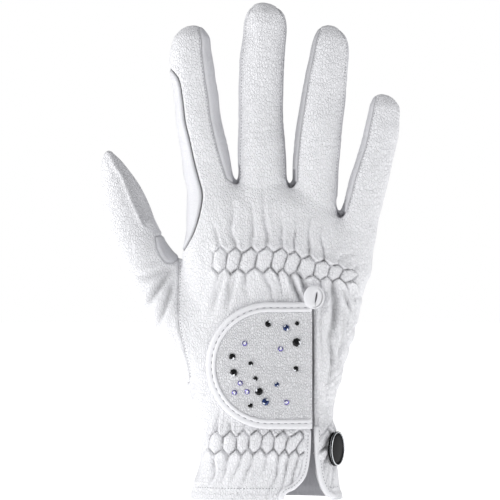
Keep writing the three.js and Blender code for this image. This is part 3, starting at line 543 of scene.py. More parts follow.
def gather_lift(points, cell_height, pleat_height):
    """Stitched creases stay down, the cells between them puff up, and pleats run on from their tips; painted
    shade lies along the sewn creases and in the pleats' grooves
    """
    x = points[:, 0]
    lift = np.zeros_like(x)
    painted_dark = np.zeros_like(x)
    for number, band in enumerate(BANDS):
        away, phase, row = band_frame(points, number)
        beyond = np.abs(away) - row
        inside = beyond < 0
        cell = np.round(phase)
        c = phase - cell
        odd = scatter(5 + number, cell)
        rough = scatter(15 + number, np.floor(phase))
        fade = smooth((x - band["left"]) / 7) * smooth((band["right"] - x) / 7)
        puff = np.maximum(0, 1 - np.abs(2 * c) ** 2.3) ** 0.5
        puff *= np.maximum(0, 1 - (away / row) ** 4) ** 0.5
        cells = cell_height * (0.8 + 0.35 * odd) * puff
        side_crease = np.where(inside, (0.5 - np.abs(c)) * band["pitch"], 9)
        sewn = np.exp(-((np.minimum(np.abs(beyond) * 0.78, side_crease) / 0.45) ** 2))
        reach = np.where(away > 0, band["up"], band["down"]) * (0.5 + 0.8 * odd)
        run = np.clip(beyond / reach, 0, 1)
        groove = np.abs(c) * band["pitch"]
        wave = 1 - np.exp(-((groove / 1.1) ** 2))
        pleats = pleat_height * (0.55 + 0.75 * rough) * (wave - 0.55)
        pleats = pleats * (1 - run) ** 1.3 * (1 - np.exp(-run * 30))
        near, past = 1 - np.clip(beyond / 9, 0, 1), np.clip(beyond / 1.6, 0, 1)
        pleats += 0.6 * pleat_height * near**2 * past**0.5
        lift += fade * (np.where(inside, cells, pleats) - 0.75 * sewn)
        # Painted shade along the sewn creases and in the grooves of the pleats, patchy at random
        patchy = np.clip(0.55 + 1.1 * lumps(points, 3.0, 55 + number), 0.1, 1)
        lines = np.exp(-((groove / 0.55) ** 2)) * (1 - run) ** 1.5
        painted_dark += fade * patchy * (0.42 * sewn + np.where(inside, 0, 0.5 * lines))
    return lift, painted_dark


def side_puckers(points):
    """Crinkles of the elastic side of the cuff: long ones down it, short slanting ones between"""
    x, z = points[:, 0], points[:, 2]
    down = smooth((z - 14) / 8) * smooth((106 - z) / 10)
    bed = smooth((x - 27.0) / 2.5) * down
    roll = 0.9 * np.exp(-(((x - 25.3) / 2.3) ** 2)) * down
    long = np.abs(np.sin(np.pi * (x + 0.16 * (z - 60)) / 5.4 + 1.1 * lumps(points * [1, 1, 0.45], 9, 61)))
    short = np.abs(np.sin(np.pi * (z - 1.1 * x) / 4.4 + 1.9 * lumps(points, 9, 62)))
    crossed = 0.45 + 0.55 * smooth(0.5 + lumps(points, 15, 63))
    return roll + bed * (1.25 * long**0.6 + 0.5 * crossed * short**0.7 - 0.8)


def wear_lift(points, normal):
    """Soft unevenness of the filled leather, with creases over the finger joints"""
    x, z = points[:, 0], points[:, 2]
    lift = 0.35 * lumps(points, 26, 3) + 0.16 * lumps(points, 11, 4) + 0.06 * lumps(points, 4.5, 5)
    palm_face = smooth((normal[:, 1] - 0.1) / 0.6)
    for name, (root, length, _, _) in FINGERS.items():
        left, right, _, _, _ = finger_section(name, z)
        across = (x - (left + right) / 2) / np.maximum((right - left) / 2, 1)
        near = smooth((1.35 - np.abs(across)) / 0.3)
        for share, strength in JOINTS:
            joint = root * PALM_LENGTH + share * length
            away = z - joint - 1.2 * across**2
            for k in (-1, 0, 1):
                off = (away - 3.4 * k + 0.8 * lumps(points, 8, 40 + k)) / 0.8
                depth = 0.14 + 0.62 * palm_face * (k == 0) + 0.2 * palm_face
                lift -= near * strength * np.exp(-off * off) * depth
    for path, depth, size in PALM_CREASES:
        off, share, _ = path_distance(x, z, path)
        ends = np.sin(np.pi * np.clip(share, 0, 1)) ** 0.5
        lift -= palm_face * depth * np.exp(-((off / size) ** 2)) * ends
    return lift


def thumb_lift(points, normal):
    """Ridge where the thumb's two halves meet, and the flat inner face beside it, which gets painted shade"""
    x, z = points[:, 0], points[:, 2]
    off, share, side = path_distance(x, z, THUMB_RIDGE)
    ends = smooth((1 - share) / 0.25) * smooth(share / 0.05)
    facing = smooth((-normal[:, 1] - 0.05) / 0.6)
    inner = np.where(side < 0, np.minimum(off, 7.0), 0) * facing
    # Second value: painted shade on the inner face beside the ridge
    return ends * (np.exp(-(off**2)) - 0.35 * inner), 0.2 * ends * np.where(side < 0, smooth(off / 1.6), 0)


def skin_lift(points, normal, sizes):
    """What stands off or sinks into the filled hand's smooth surface, and how much painted shade its sewn
    creases, pleats, folds and the thumb's inner face get
    """
    x, z = points[:, 0], points[:, 2]
    back_face = smooth((0.25 - normal[:, 1]) / 0.5)
    gathers, sewn = gather_lift(points, sizes.cell_height / MM, sizes.pleat_height / MM)
    folded, fold_painted_dark = fold_lift(x, z)
    lift = back_face * (gathers + folded + side_puckers(points))
    # Painted shade of the sewn creases, pleats and folds on the back
    painted_dark = back_face * (sewn + fold_painted_dark)
    ridge = (x < -48) & (normal[:, 1] < 0.3)
    ridged, painted_thumb_shade = thumb_lift(points, normal)
    lift += np.where(ridge, ridged, 0)
    # Painted shade on the thumb's inner face
    painted_dark += np.where(ridge, painted_thumb_shade, 0)
    lift += wear_lift(points, normal)
    hem = smooth((4.2 - z) / 1.6)
    lift = lift * (1 - 0.7 * smooth((6 - z) / 6)) + 0.45 * hem
    under = flap_reach(x, z)
    most = BED - 0.15
    low = np.minimum(lift, most - 0.25 * smooth(under / 3)) - 0.35 * smooth(under / 5)
    flat = np.where((under > -2.5) & (normal[:, 1] < 0), smooth((under + 2.5) / 2.5), 0)
    return lift + (low - lift) * flat, painted_dark


def flap_reach(x, z):
    """Distance inside the flap's outline, negative outside"""
    radius = FLAP_HEIGHT / 2
    middle = FLAP_BOTTOM + radius
    dz = np.abs(z - middle)
    round_end = radius - np.hypot(np.minimum(x - FLAP_LEFT - radius, 0), dz)
    return np.minimum(round_end, FLAP_RIGHT - x)


# ---------------------------------------------------------------- mesh of the skin


def net_of_surface(step):
    """Closed net of triangles around the filled hand, open below the wrist"""
    low = np.array([-88.0, -30.0, -4.0])
    high = np.array([72.0, 32.0, 250.0])
    counts = np.ceil((high - low) / step).astype(int) + 1
    axes = [low[i] + step * np.arange(counts[i]) for i in range(3)]
    grid = np.stack(np.meshgrid(*axes, indexing="ij"), -1)
    value = hand(grid)
    inside = value < 0
    corners = [(i, j, k) for i in (0, 1) for j in (0, 1) for k in (0, 1)]
    cells = np.array(value.shape) - 1

    def part(array, offset):
        return array[tuple(slice(o, o + n) for o, n in zip(offset, cells))]

    # A point in each grid cell that the surface passes, at the middle of where it crosses the cell's edges
    total = np.zeros(tuple(cells) + (3,))
    hits = np.zeros(tuple(cells))
    for a in corners:
        for axis in range(3):
            if a[axis]:
                continue
            b = tuple(v + (i == axis) for i, v in enumerate(a))
            va, vb = part(value, a), part(value, b)
            cross = (va < 0) != (vb < 0)
            t = np.where(cross, va / np.where(cross, va - vb, 1), 0)
            place = np.array(a, float) + np.zeros(tuple(cells) + (3,))
            place[..., axis] += t
            total += place * cross[..., None]
            hits += cross
    used = hits > 0
    number = np.full(tuple(cells), -1)
    number[used] = np.arange(used.sum())
    index = np.stack(np.nonzero(used), -1)
    points = low + step * (index + total[used] / hits[used][:, None])
    # A face round each grid edge that the surface crosses, between the points of the four cells beside it
    quads = []
    for axis in range(3):
        b, c = (axis + 1) % 3, (axis + 2) % 3
        first = [slice(None)] * 3
        second = [slice(None)] * 3
        first[axis] = slice(0, -1)
        second[axis] = slice(1, None)
        cross = inside[tuple(first)] != inside[tuple(second)]
        i = np.stack(np.nonzero(cross), -1)
        i = i[(i[:, b] > 0) & (i[:, c] > 0) & (i[:, b] < cells[b]) & (i[:, c] < cells[c])]
        out = inside[tuple(first)][tuple(i.T)]
        ring = []
        for db, dc in ((0, 0), (1, 0), (1, 1), (0, 1)):
            j = i.copy()
            j[:, b] -= db
            j[:, c] -= dc
            ring.append(number[tuple(j.T)])
        ring = np.stack(ring, -1)
        ring[~out] = ring[~out][:, ::-1]
        quads.append(ring)
    quads = np.concatenate(quads)
    quads = quads[(quads >= 0).all(1)]
    return points, np.concatenate([quads[:, [0, 1, 2]], quads[:, [0, 2, 3]]])


def edges_of(faces):
    """Each edge once, and for each face the numbers of its edges ab, bc, ca"""
    pairs = np.sort(np.stack([faces, np.roll(faces, -1, 1)], -1).reshape(-1, 2), 1)
    key = pairs[:, 0].astype(np.int64) * (faces.max() + 1) + pairs[:, 1]
    _, first, back = np.unique(key, return_index=True, return_inverse=True)
    return pairs[first], back.reshape(-1, 3)


def relax(points, faces, rounds=3):
    """Evens the net out and keeps it on the surface"""
    edges, _ = edges_of(faces)
    a, b = edges[:, 0], edges[:, 1]
    count = np.bincount(a, minlength=len(points)) + np.bincount(b, minlength=len(points))
    for _ in range(rounds):
        total = np.zeros_like(points)
        for axis in range(3):
            total[:, axis] += np.bincount(a, points[b, axis], len(points))
            total[:, axis] += np.bincount(b, points[a, axis], len(points))
        points = settle(0.45 * points + 0.55 * total / count[:, None], 1)
    return points


def cut_along(points, faces, labels, field, snap=0.28, region=None):
    """Cuts the net where a field changes sign, and says on which side each face lies"""
    value = field(points)
    if region is not None:
        value = np.where(region(points), value, np.nan)
    edges, of_face = edges_of(faces)
    a, b = edges[:, 0], edges[:, 1]
    va, vb = value[a], value[b]
    cross = va * vb < 0
    t = np.where(cross, va / np.where(cross, va - vb, 1), 1)
    # Corners near the cut move onto it, each along its shortest crossed edge, so that no slivers are made
    ends = np.concatenate([a[cross], b[cross]])
    others = np.concatenate([b[cross], a[cross]])
    share = np.concatenate([t[cross], 1 - t[cross]])
    order = np.argsort(share)
    ends, others, share = ends[order], others[order], share[order]
    _, first = np.unique(ends, return_index=True)
    close = first[share[first] < snap]
    moved = points.copy()
    moved[ends[close]] += (points[others[close]] - points[ends[close]]) * share[close][:, None]
    value = value.copy()
    value[ends[close]] = 0
    points = moved
    # The edges that still cross get a new point
    va, vb = value[a], value[b]
    cross = va * vb < 0
    t = va[cross] / (va[cross] - vb[cross])
    fresh = points[a[cross]] + (points[b[cross]] - points[a[cross]]) * t[:, None]
    number = np.full(len(edges), -1)
    number[cross] = len(points) + np.arange(cross.sum())
    on_edge = number[of_face]
    count = (on_edge >= 0).sum(1)
    # A face with one cut edge falls into two, with two cut edges into three
    made, source = [faces[count == 0]], [np.nonzero(count == 0)[0]]
    for k in range(3):
        turn = [k, (k + 1) % 3, (k + 2) % 3]
        f, e = faces[:, turn], on_edge[:, turn]
        one = (count == 1) & (e[:, 1] >= 0)
        p, q, r, m = f[one, 0], f[one, 1], f[one, 2], e[one, 1]
        made += [np.stack([p, q, m], -1), np.stack([p, m, r], -1)]
        source += [np.nonzero(one)[0]] * 2
        two = (count == 2) & (e[:, 1] < 0)
        p, q, r, m, n = f[two, 0], f[two, 1], f[two, 2], e[two, 0], e[two, 2]
        made += [np.stack([p, m, n], -1), np.stack([m, q, r], -1), np.stack([m, r, n], -1)]
        source += [np.nonzero(two)[0]] * 3
    points = np.concatenate([points, fresh])
    value = np.concatenate([value, np.zeros(len(fresh))])
    faces, source = np.concatenate(made), np.concatenate(source)
    worst = np.argmax(np.nan_to_num(np.abs(value[faces])), 1)
    side = value[faces][np.arange(len(faces)), worst] > 0
    return points, faces, labels[source], side


def outline_field(outline):
    """Distance to a closed outline in the facing plane, negative inside"""
    outline = np.asarray(outline, float)

    def field(points):
        x, z = points[:, 0], points[:, 2]
        best = np.full(len(points), 1e9)
        inside = np.zeros(len(points), bool)
        for a, b in zip(outline, np.roll(outline, -1, 0)):
            d = b - a
            t = np.clip(((x - a[0]) * d[0] + (z - a[1]) * d[1]) / max(d @ d, 1e-9), 0, 1)
            best = np.minimum(best, np.hypot(x - a[0] - t * d[0], z - a[1] - t * d[1]))
            spans = (a[1] > z) != (b[1] > z)
            hit = x < (b[0] - a[0]) * (z - a[1]) / (b[1] - a[1] if b[1] != a[1] else 1) + a[0]
            inside ^= spans & hit
        return np.where(inside, -best, best)

    return field


def crease_distance(points, number, crease):
    """Signed way to a band's upper or lower sewn row, or to the creases between its cells"""
    away, phase, row = band_frame(points, number)
    return {"upper": away - row, "lower": away + row, "between": np.cos(np.pi * phase)}[crease]


def near_band(points, number, margin):
    """Whether points are on the back within a margin of a band's cells"""
    band = BANDS[number]
    away, _, row = band_frame(points, number)
    x, y = points[:, 0], points[:, 1]
    return (x > band["left"]) & (x < band["right"]) & (y < 4) & (np.abs(away) < row + margin)


def crease_cuts(points, faces):
    """Puts edges of the net on the sewn creases of the gathered bands, so that they stay sharp"""
    for number in range(len(BANDS)):
        for crease, margin in (("upper", 4.0), ("lower", 4.0), ("between", 0.3)):
            field = partial(crease_distance, number=number, crease=crease)
            region = partial(near_band, number=number, margin=margin)
            plain = np.zeros(len(faces), int)
            points, faces, _, _ = cut_along(points, faces, plain, field, 0.3, region)
    return points, faces


def eased(path, count=8):
    """Smooth curve through the points of a path"""
    path = np.asarray(path, float)
    ends = np.concatenate([[2 * path[0] - path[1]], path, [2 * path[-1] - path[-2]]])
    out = []
    for p0, p1, p2, p3 in zip(ends[:-3], ends[1:-2], ends[2:-1], ends[3:]):
        for t in np.arange(count) / count:
            out.append(0.5 * (2 * p1 + (p2 - p0) * t + (2 * p0 - 5 * p1 + 4 * p2 - p3) * t**2
                              + (3 * p1 - p0 - 3 * p2 + p3) * t**3))
    return np.array(out + [path[-1]])


def placed(rows):
    """Millimetres of a seam given in shares of the palm"""
    return [(across * PALM_WIDTH, up * PALM_LENGTH) for across, up in rows]


def vent_side(rows):
    """Millimetres of one edge of the vent"""
    return [(FLAP_RIGHT + across * FLAP_LENGTH, up * PALM_LENGTH) for across, up in rows]


def vent_outline():
    top = FLAP_TOP - 2.4
    left = [(FLAP_RIGHT - VENT_WIDTH / 2, top)] + vent_side(VENT_LEFT)
    right = [(FLAP_RIGHT + VENT_WIDTH / 2, top)] + vent_side(VENT_RIGHT)
    return np.concatenate([eased(left), eased(right)[::-1]])


def finger_seam(name, side, start, count=16):
    """Seam along a finger's left (0) or right (1) side, from a height to its tip"""
    root, length, _, _ = FINGERS[name]
    z = np.linspace(start, root * PALM_LENGTH + 0.98 * length, count)
    left, right, _, _, _ = finger_section(name, z)
    share = FINGER_SEAMS[name][side]
    if name == "index":
        share = share + 0.16 * smooth((176 - z) / 20)
    return np.stack([(left + right) / 2 + (right - left) / 2 * share, z], -1)


def crotch_outline(crotch):
    """Outline of the strip between two fingers, from its lowest point up over their tips"""
    left_name, right_name, across, up, _ = crotch
    start = up * PALM_LENGTH + 0.022 * PALM_LENGTH
    right = finger_seam(right_name, 0, start)
    left = finger_seam(left_name, 1, start)
    bottom = np.array([[across * PALM_WIDTH, up * PALM_LENGTH]])
    top = CURL_END + FINGER_CURL
    tops = np.array([[right[-1, 0], top], [left[-1, 0], top]])
    return np.concatenate([bottom, right, tops, left[::-1]])


PANELS = ["back_panel", "palm_panel", "fourchette_index_middle", "fourchette_middle_ring",
          "fourchette_ring_little", "thumb_gusset", "thumb"]
# Panels painted darker than their neighbours, a painted shade where they face into the gaps between the
# fingers; the thumb's gusset is painted a little lighter
PAINTED_SHADE_PANELS = {"fourchette_middle_ring": 0.2, "fourchette_ring_little": 0.07, "thumb_gusset": -0.06}


def cut_panels(points, faces):
    """Cuts the net into the panels that are sewn together, in the order in which they take their share"""
    labels = np.zeros(len(faces), int)

    def take(name, field):
        """Gives a panel what the back still has inside the field; no name leaves a hole"""
        nonlocal points, faces, labels
        points, faces, labels, side = cut_along(points, faces, labels, field)
        labels = np.where((labels == 0) & ~side, PANELS.index(name) if name else -1, labels)

    for crotch in CROTCHES:
        take(crotch[4], outline_field(crotch_outline(crotch)))
    take("thumb_gusset", outline_field(placed(GUSSET)))
    for name, rows, far in (("thumb", THUMB_SEAM, -200.0), ("palm_panel", WRAP_SEAM, -PALM_WIDTH)):
        seam = eased(placed(rows))
        take(name, outline_field(np.concatenate([seam, [[far, seam[-1, 1]], [far, seam[0, 1]]]])))
    take("palm_panel", lambda p: curl(p[:, 2]) - p[:, 1])
    vent = outline_field(vent_outline())
    take(None, lambda p: np.maximum(vent(p), p[:, 1] + 2))
    points, faces, labels, side = cut_along(points, faces, labels, lambda p: p[:, 2])
    keep = side & (labels >= 0)
    return points, faces[keep], labels[keep]


def boundary(faces):
    """Edges that only one face uses, turned the way their face runs"""
    pairs = np.stack([faces, np.roll(faces, -1, 1)], -1).reshape(-1, 2)
    key = np.sort(pairs, 1)
    key = key[:, 0].astype(np.int64) * (faces.max() + 1) + key[:, 1]
    _, first, count = np.unique(key, return_index=True, return_counts=True)
    return pairs[first[count == 1]]


def nearest(points, targets):
    """Distance from each point to the nearest target"""
    tree = KDTree(len(targets))
    for i, p in enumerate(targets):
        tree.insert(p, i)
    tree.balance()
    return np.array([tree.find(p)[2] for p in points])


def split_in_four(points, faces):
    """Net with four faces for each: its points and faces, and the edges whose middles are its new points"""
    coarse = len(points)
    edges, of_face = edges_of(faces)
    a, b, c = faces.T
    ab, bc, ca = (of_face + coarse).T
    fine_faces = np.concatenate([
        np.stack([a, ab, ca], -1), np.stack([ab, b, bc], -1),
        np.stack([ca, bc, c], -1), np.stack([ab, bc, ca], -1),
    ])
    return settle(np.concatenate([points, points[edges].mean(1)]), 2, 0.5), fine_faces, edges


def seam_lift(points, normal, rim, depth):
    """How the leather rolls in at the seams and along the wrap seam's open edge, and how much painted shade
    lies along them
    """
    near = points[:, 2] > -1
    off = np.full(len(points), 9.0)
    off[near] = nearest(points[near], points[rim])
    depth = depth * (0.35 + 0.65 * smooth(tip_distance(points) / 12))
    rolled = depth * (0.35 * np.exp(-(((off - 1.7) / 0.9) ** 2)) - np.exp(-((off / 0.6) ** 2)))
    wrapped, _, _ = path_distance(points[:, 0], points[:, 2], eased(placed(WRAP_SEAM)))
    wrapped = np.where((normal[:, 1] < 0.3) & (points[:, 2] > 0.8 * PALM_LENGTH), wrapped, 9)
    sunk = 0.5 * np.exp(-((wrapped / 0.5) ** 2))
    # Third value: painted shade along the seams and in the wrap seam's slit
    return rolled, sunk, 0.3 * np.exp(-((off / 0.3) ** 2)) + 0.7 * np.exp(-((wrapped / 0.42) ** 2))


def make_skin(sizes):
    """All panels of the glove: fine outside, coarse lining inside and a rim between them"""
    points, faces = net_of_surface(sizes.mesh_step / MM)
    points = relax(points, faces)
    points, faces = crease_cuts(points, faces)
    points, faces, labels = cut_panels(points, faces)
    used = np.unique(faces)
    number = np.zeros(len(points), int)
    number[used] = np.arange(len(used))
    points, faces = points[used], number[faces]
    fine, fine_faces, edges = split_in_four(points, faces)
    fine_labels = np.tile(labels, 4)
    normal, _ = slope_of(fine)
    lift, painted_dark = skin_lift(fine, normal, sizes)
    rims = [np.unique(boundary(fine_faces[fine_labels == panel])) for panel in range(len(PANELS))]
    rim = np.unique(np.concatenate(rims))
    rolled, sunk, seam_painted_dark = seam_lift(fine, normal, rim[fine[rim, 2] > 1.5], sizes.seam_depth / MM)
    lift = lift + rolled - sunk
    painted_dark += seam_painted_dark
    # Painted shade over the panels between the fingers, and the gusset painted a little lighter
    for name, more in PAINTED_SHADE_PANELS.items():
        painted_dark[np.unique(fine_faces[fine_labels == PANELS.index(name)])] += more
    painted_dark = np.clip(painted_dark, 0, 1)
    outer = fine + normal * lift[:, None]
    # The lining follows the cells less than the outside does, and folds a little more, so that neither shows
    # through the other
    coarse = len(points)
    within = np.minimum(0.45 * lift[:coarse], 1.15 * lift[:coarse] - 0.2) - sizes.wall / MM
    inner = points + normal[:coarse] * within[:, None]
    # Painted shade of each outer point, carried to the crease attribute; the lining gets none
    shade = np.concatenate([painted_dark, np.zeros(len(inner))])
    pair_key = edges[:, 0].astype(np.int64) * coarse + edges[:, 1]
    shift = len(outer)
    panels = {}
    for panel, name in enumerate(PANELS):
        own = faces[labels == panel]
        rim = boundary(own)
        key = np.sort(rim, 1)
        middle = coarse + np.searchsorted(pair_key, key[:, 0].astype(np.int64) * coarse + key[:, 1])
        p, q = rim[:, 0], rim[:, 1]
        sides = np.concatenate([
            np.stack([p, p + shift, middle], -1), np.stack([p + shift, q + shift, middle], -1),
            np.stack([q + shift, q, middle], -1),
        ])
        outside = np.concatenate([fine_faces[fine_labels == panel], sides])
        every = np.concatenate([outside, own[:, ::-1] + shift])
        panels[name] = (np.concatenate([outer, inner]), every, len(outside), shade)
    return panels


def tip_distance(points):
    """How far below the nearest fingertip each point is"""
    x, z = points[:, 0], points[:, 2]
    best = np.full(len(points), 60.0)
    for name, (root, length, _, _) in FINGERS.items():
        tip = root * PALM_LENGTH + length
        left, right, _, _, _ = finger_section(name, np.full(1, tip - 12))
        own = (x > left[0] - 5) & (x < right[0] + 5)
        best = np.where(own, np.minimum(best, tip - z), best)
    return np.maximum(best, 0)


# ---------------------------------------------------------------- objects and materials


def mesh_object(name, points, faces, material, smooth_shade=True, lining=None, inside_from=None,
                crease=None):
    """Object at the origin whose mesh holds only the points that its faces use"""
    if isinstance(faces, np.ndarray):
        used = np.unique(faces)
        number = np.zeros(len(points), int)
        number[used] = np.arange(len(used))
        points, faces = np.asarray(points)[used], number[faces].tolist()
        crease = None if crease is None else crease[used]
    mesh = bpy.data.meshes.new(name)
    mesh.from_pydata((np.asarray(points) * MM).tolist(), [], faces)
    mesh.materials.append(material)
    if lining:
        mesh.materials.append(lining)
        slots = np.zeros(len(faces), int)
        slots[inside_from:] = 1
        mesh.polygons.foreach_set("material_index", slots)
    mesh.polygons.foreach_set("use_smooth", [smooth_shade] * len(faces))
    # The crease attribute holds painted shade, by which the leather darkens its colour
    if crease is not None:
        layer = mesh.attributes.new("crease", "FLOAT", "POINT")
        layer.data.foreach_set("value", crease.astype(np.float32))
    mesh.update()
    thing = bpy.data.objects.new(name, mesh)
    bpy.context.scene.collection.objects.link(thing)
    return thing


def dress(thing, slot, *nodes):
    """Puts a piece on the glove's body, in place of the solids it stands for"""
    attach(thing, "root")
    if nodes:
        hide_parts(*nodes)


def add_node(tree, kind, settings=None, links=None, **inputs):
    """Adds a node, its settings, its plain input values and its links from other nodes' outputs"""
    node = tree.nodes.new(kind)
    for key, value in (settings or {}).items():
        setattr(node, key, value)
    for key, value in inputs.items():
        node.inputs[key.replace("_", " ")].default_value = value
    for key, source in (links or {}).items():
        tree.links.new(source, node.inputs[key])
    return node


def new_material(name, **inputs):
    """Material, its tree, its shader with some plain inputs set, and the object's coordinates"""
    material = bpy.data.materials.new(name)
    material.use_nodes = True
    tree = material.node_tree
    shader = tree.nodes["Principled BSDF"]
    for key, value in inputs.items():
        shader.inputs[key.replace("_", " ")].default_value = value
    return material, tree, shader, add_node(tree, "ShaderNodeTexCoord").outputs["Object"]


def noise(tree, place, size, detail):
    """Noise whose lumps are about size mm wide"""
    return add_node(tree, "ShaderNodeTexNoise", links={"Vector": place},
                    Scale=1 / (size * MM), Detail=detail)


def waves(tree, place, pitch, way, **inputs):
    """Wave bands a pitch in mm apart"""
    return add_node(tree, "ShaderNodeTexWave", {"bands_direction": way}, {"Vector": place},
                    Scale=1 / (pitch * MM) / 6.28, **inputs).outputs["Fac"]


def spread(tree, value, low, high):
    """A value of 0 to 1 spread from low to high"""
    node = add_node(tree, "ShaderNodeMapRange", links={"Value": value}, To_Min=low, To_Max=high)
    return node.outputs["Result"]


def raised(tree, shader, height, strength, depth, under=None):
    """Bump of a depth in mm, over another one if given"""
    links = {"Height": height, "Normal": under} if under else {"Height": height}
    bump = add_node(tree, "ShaderNodeBump", links=links, Strength=strength, Distance=depth * MM)
    tree.links.new(bump.outputs[0], shader.inputs["Normal"])
    return bump.outputs[0]


def added(tree, value, factor, more):
    """value * factor + more"""
    node = add_node(tree, "ShaderNodeMath", {"operation": "MULTIPLY_ADD"}, {0: value, 2: more})
    node.inputs[1].default_value = factor
    return node.outputs[0]


def between(tree, low, high, factor):
    """Mix of two colours"""
    node = add_node(tree, "ShaderNodeMix", {"data_type": "RGBA"}, {"Factor": factor})
    node.inputs[6].default_value = (*low, 1)
    node.inputs[7].default_value = (*high, 1)
    return node.outputs[2]


def tinted(tree, shader, base, tone):
    """Base colour, a colour or a socket, times a tone"""
    if not hasattr(base, "node"):
        plain = add_node(tree, "ShaderNodeRGB")
        plain.outputs[0].default_value = (*base, 1)
        base = plain.outputs[0]
    scaled = add_node(tree, "ShaderNodeVectorMath", {"operation": "SCALE"}, {0: base, "Scale": tone})
    tree.links.new(scaled.outputs[0], shader.inputs["Base Color"])


def leather(name, tint, roughness, grain, grain_depth, wrinkle_depth, shade):
    """Embossed coated leather: scales of a given width in mm between fine grooves, over soft wrinkles; the
    grooves are painted darker as painted shade, and the colour is darkened by the painted shade of the crease
    attribute
    """
    material, tree, shader, place = new_material(name, IOR=1.48, Sheen_Weight=0.08, Sheen_Roughness=0.5)
    bend = noise(tree, place, 4, 2.0)
    mixed = add_node(tree, "ShaderNodeVectorMath", {"operation": "MULTIPLY_ADD"},
                     {0: bend.outputs["Color"], 2: place})
    mixed.inputs[1].default_value = (0.5 * MM,) * 3
    drawn = add_node(tree, "ShaderNodeVectorMath", {"operation": "MULTIPLY"}, {0: mixed.outputs[0]})
    drawn.inputs[1].default_value = (1.0, 1.0, 0.62)
    scales = add_node(tree, "ShaderNodeTexVoronoi", {"feature": "DISTANCE_TO_EDGE"},
                      {"Vector": drawn.outputs[0]}, Scale=1 / (grain * MM), Randomness=0.9)
    ridge = add_node(tree, "ShaderNodeMapRange", {"interpolation_type": "SMOOTHSTEP"},
                     {"Value": scales.outputs["Distance"]}, From_Max=0.22).outputs["Result"]
    pores = noise(tree, place, 0.35, 3.0).outputs["Fac"]
    bump = raised(tree, shader, added(tree, pores, 0.1, ridge), 1.0, grain_depth)
    raised(tree, shader, noise(tree, place, 3.2, 4.0).outputs["Fac"], 1.0, wrinkle_depth, bump)
    tone = spread(tree, noise(tree, place, 28, 3.0).outputs["Fac"], 0.96, 1.03)
    # Painted shade from the crease attribute, which lowers the colour's tone
    creases = add_node(tree, "ShaderNodeAttribute", {"attribute_name": "crease"}).outputs["Fac"]
    # Painted shade in the grain's grooves: they take the tint times the shade factor
    base = between(tree, [c * shade for c in tint], tint, ridge)
    tinted(tree, shader, base, added(tree, creases, -0.9, tone))
    tree.links.new(spread(tree, pores, roughness - 0.08, roughness + 0.1), shader.inputs["Roughness"])
    return material


def brushed_lining(name, tint):
    """Brushed polyester jersey: fine ribs 0.9 mm apart under a soft nap"""
    material, tree, shader, place = new_material(name, Roughness=0.9, Sheen_Weight=0.3)
    ribs = waves(tree, place, 0.9, "X", Distortion=1.5, Detail=2.0)
    nap = noise(tree, place, 0.5, 4.0).outputs["Fac"]
    height = add_node(tree, "ShaderNodeMath", {"operation": "ADD"}, {0: ribs, 1: nap}).outputs[0]
    raised(tree, shader, height, 0.8, 0.12)
    tinted(tree, shader, tint, spread(tree, nap, 0.85, 1.05))
    return material


def sewing_thread(name, tint):
    """Twisted polyester thread with a twist every 0.5 mm"""
    material, tree, shader, place = new_material(name, Roughness=0.55, Sheen_Weight=0.3)
    twist = waves(tree, place, 0.5, "DIAGONAL")
    raised(tree, shader, twist, 0.7, 0.08)
    tree.links.new(between(tree, [c * 0.8 for c in tint], tint, twist), shader.inputs["Base Color"])
    return material


def polished_steel(name, tint):
    """Polished steel: bright, with small scuffs"""
    material, tree, shader, place = new_material(name, Metallic=1.0, Base_Color=(*tint, 1))
    scuffs = noise(tree, place, 1.2, 6.0).outputs["Fac"]
    tree.links.new(spread(tree, scuffs, 0.14, 0.32), shader.inputs["Roughness"])
    raised(tree, shader, scuffs, 0.3, 0.02)
    return material


def black_enamel(name, tint):
    """Poured black enamel: glossy, with a faint orange-peel surface"""
    material, tree, shader, place = new_material(name, Base_Color=(*tint, 1), Specular_IOR_Level=0.06)
    peel = noise(tree, place, 0.9, 2.0).outputs["Fac"]
    raised(tree, shader, peel, 0.4, 0.015)
    tree.links.new(spread(tree, peel, 0.3, 0.4), shader.inputs["Roughness"])
    return material


def cut_glass(name, tint, metallic, gloss=1.0):
    """Cut glass with a foil back: mirror-bright facets whose tone differs a little from one to the next"""
    material, tree, shader, place = new_material(
        name, Metallic=metallic, Roughness=0.05, IOR=1.6, Specular_IOR_Level=0.5 * gloss, Coat_Weight=gloss,
        Coat_Roughness=0.02)
    facets = add_node(tree, "ShaderNodeTexVoronoi", links={"Vector": place}, Scale=1 / (0.8 * MM))
    tinted(tree, shader, tint, spread(tree, facets.outputs["Distance"], 0.7, 1.3))
    return material


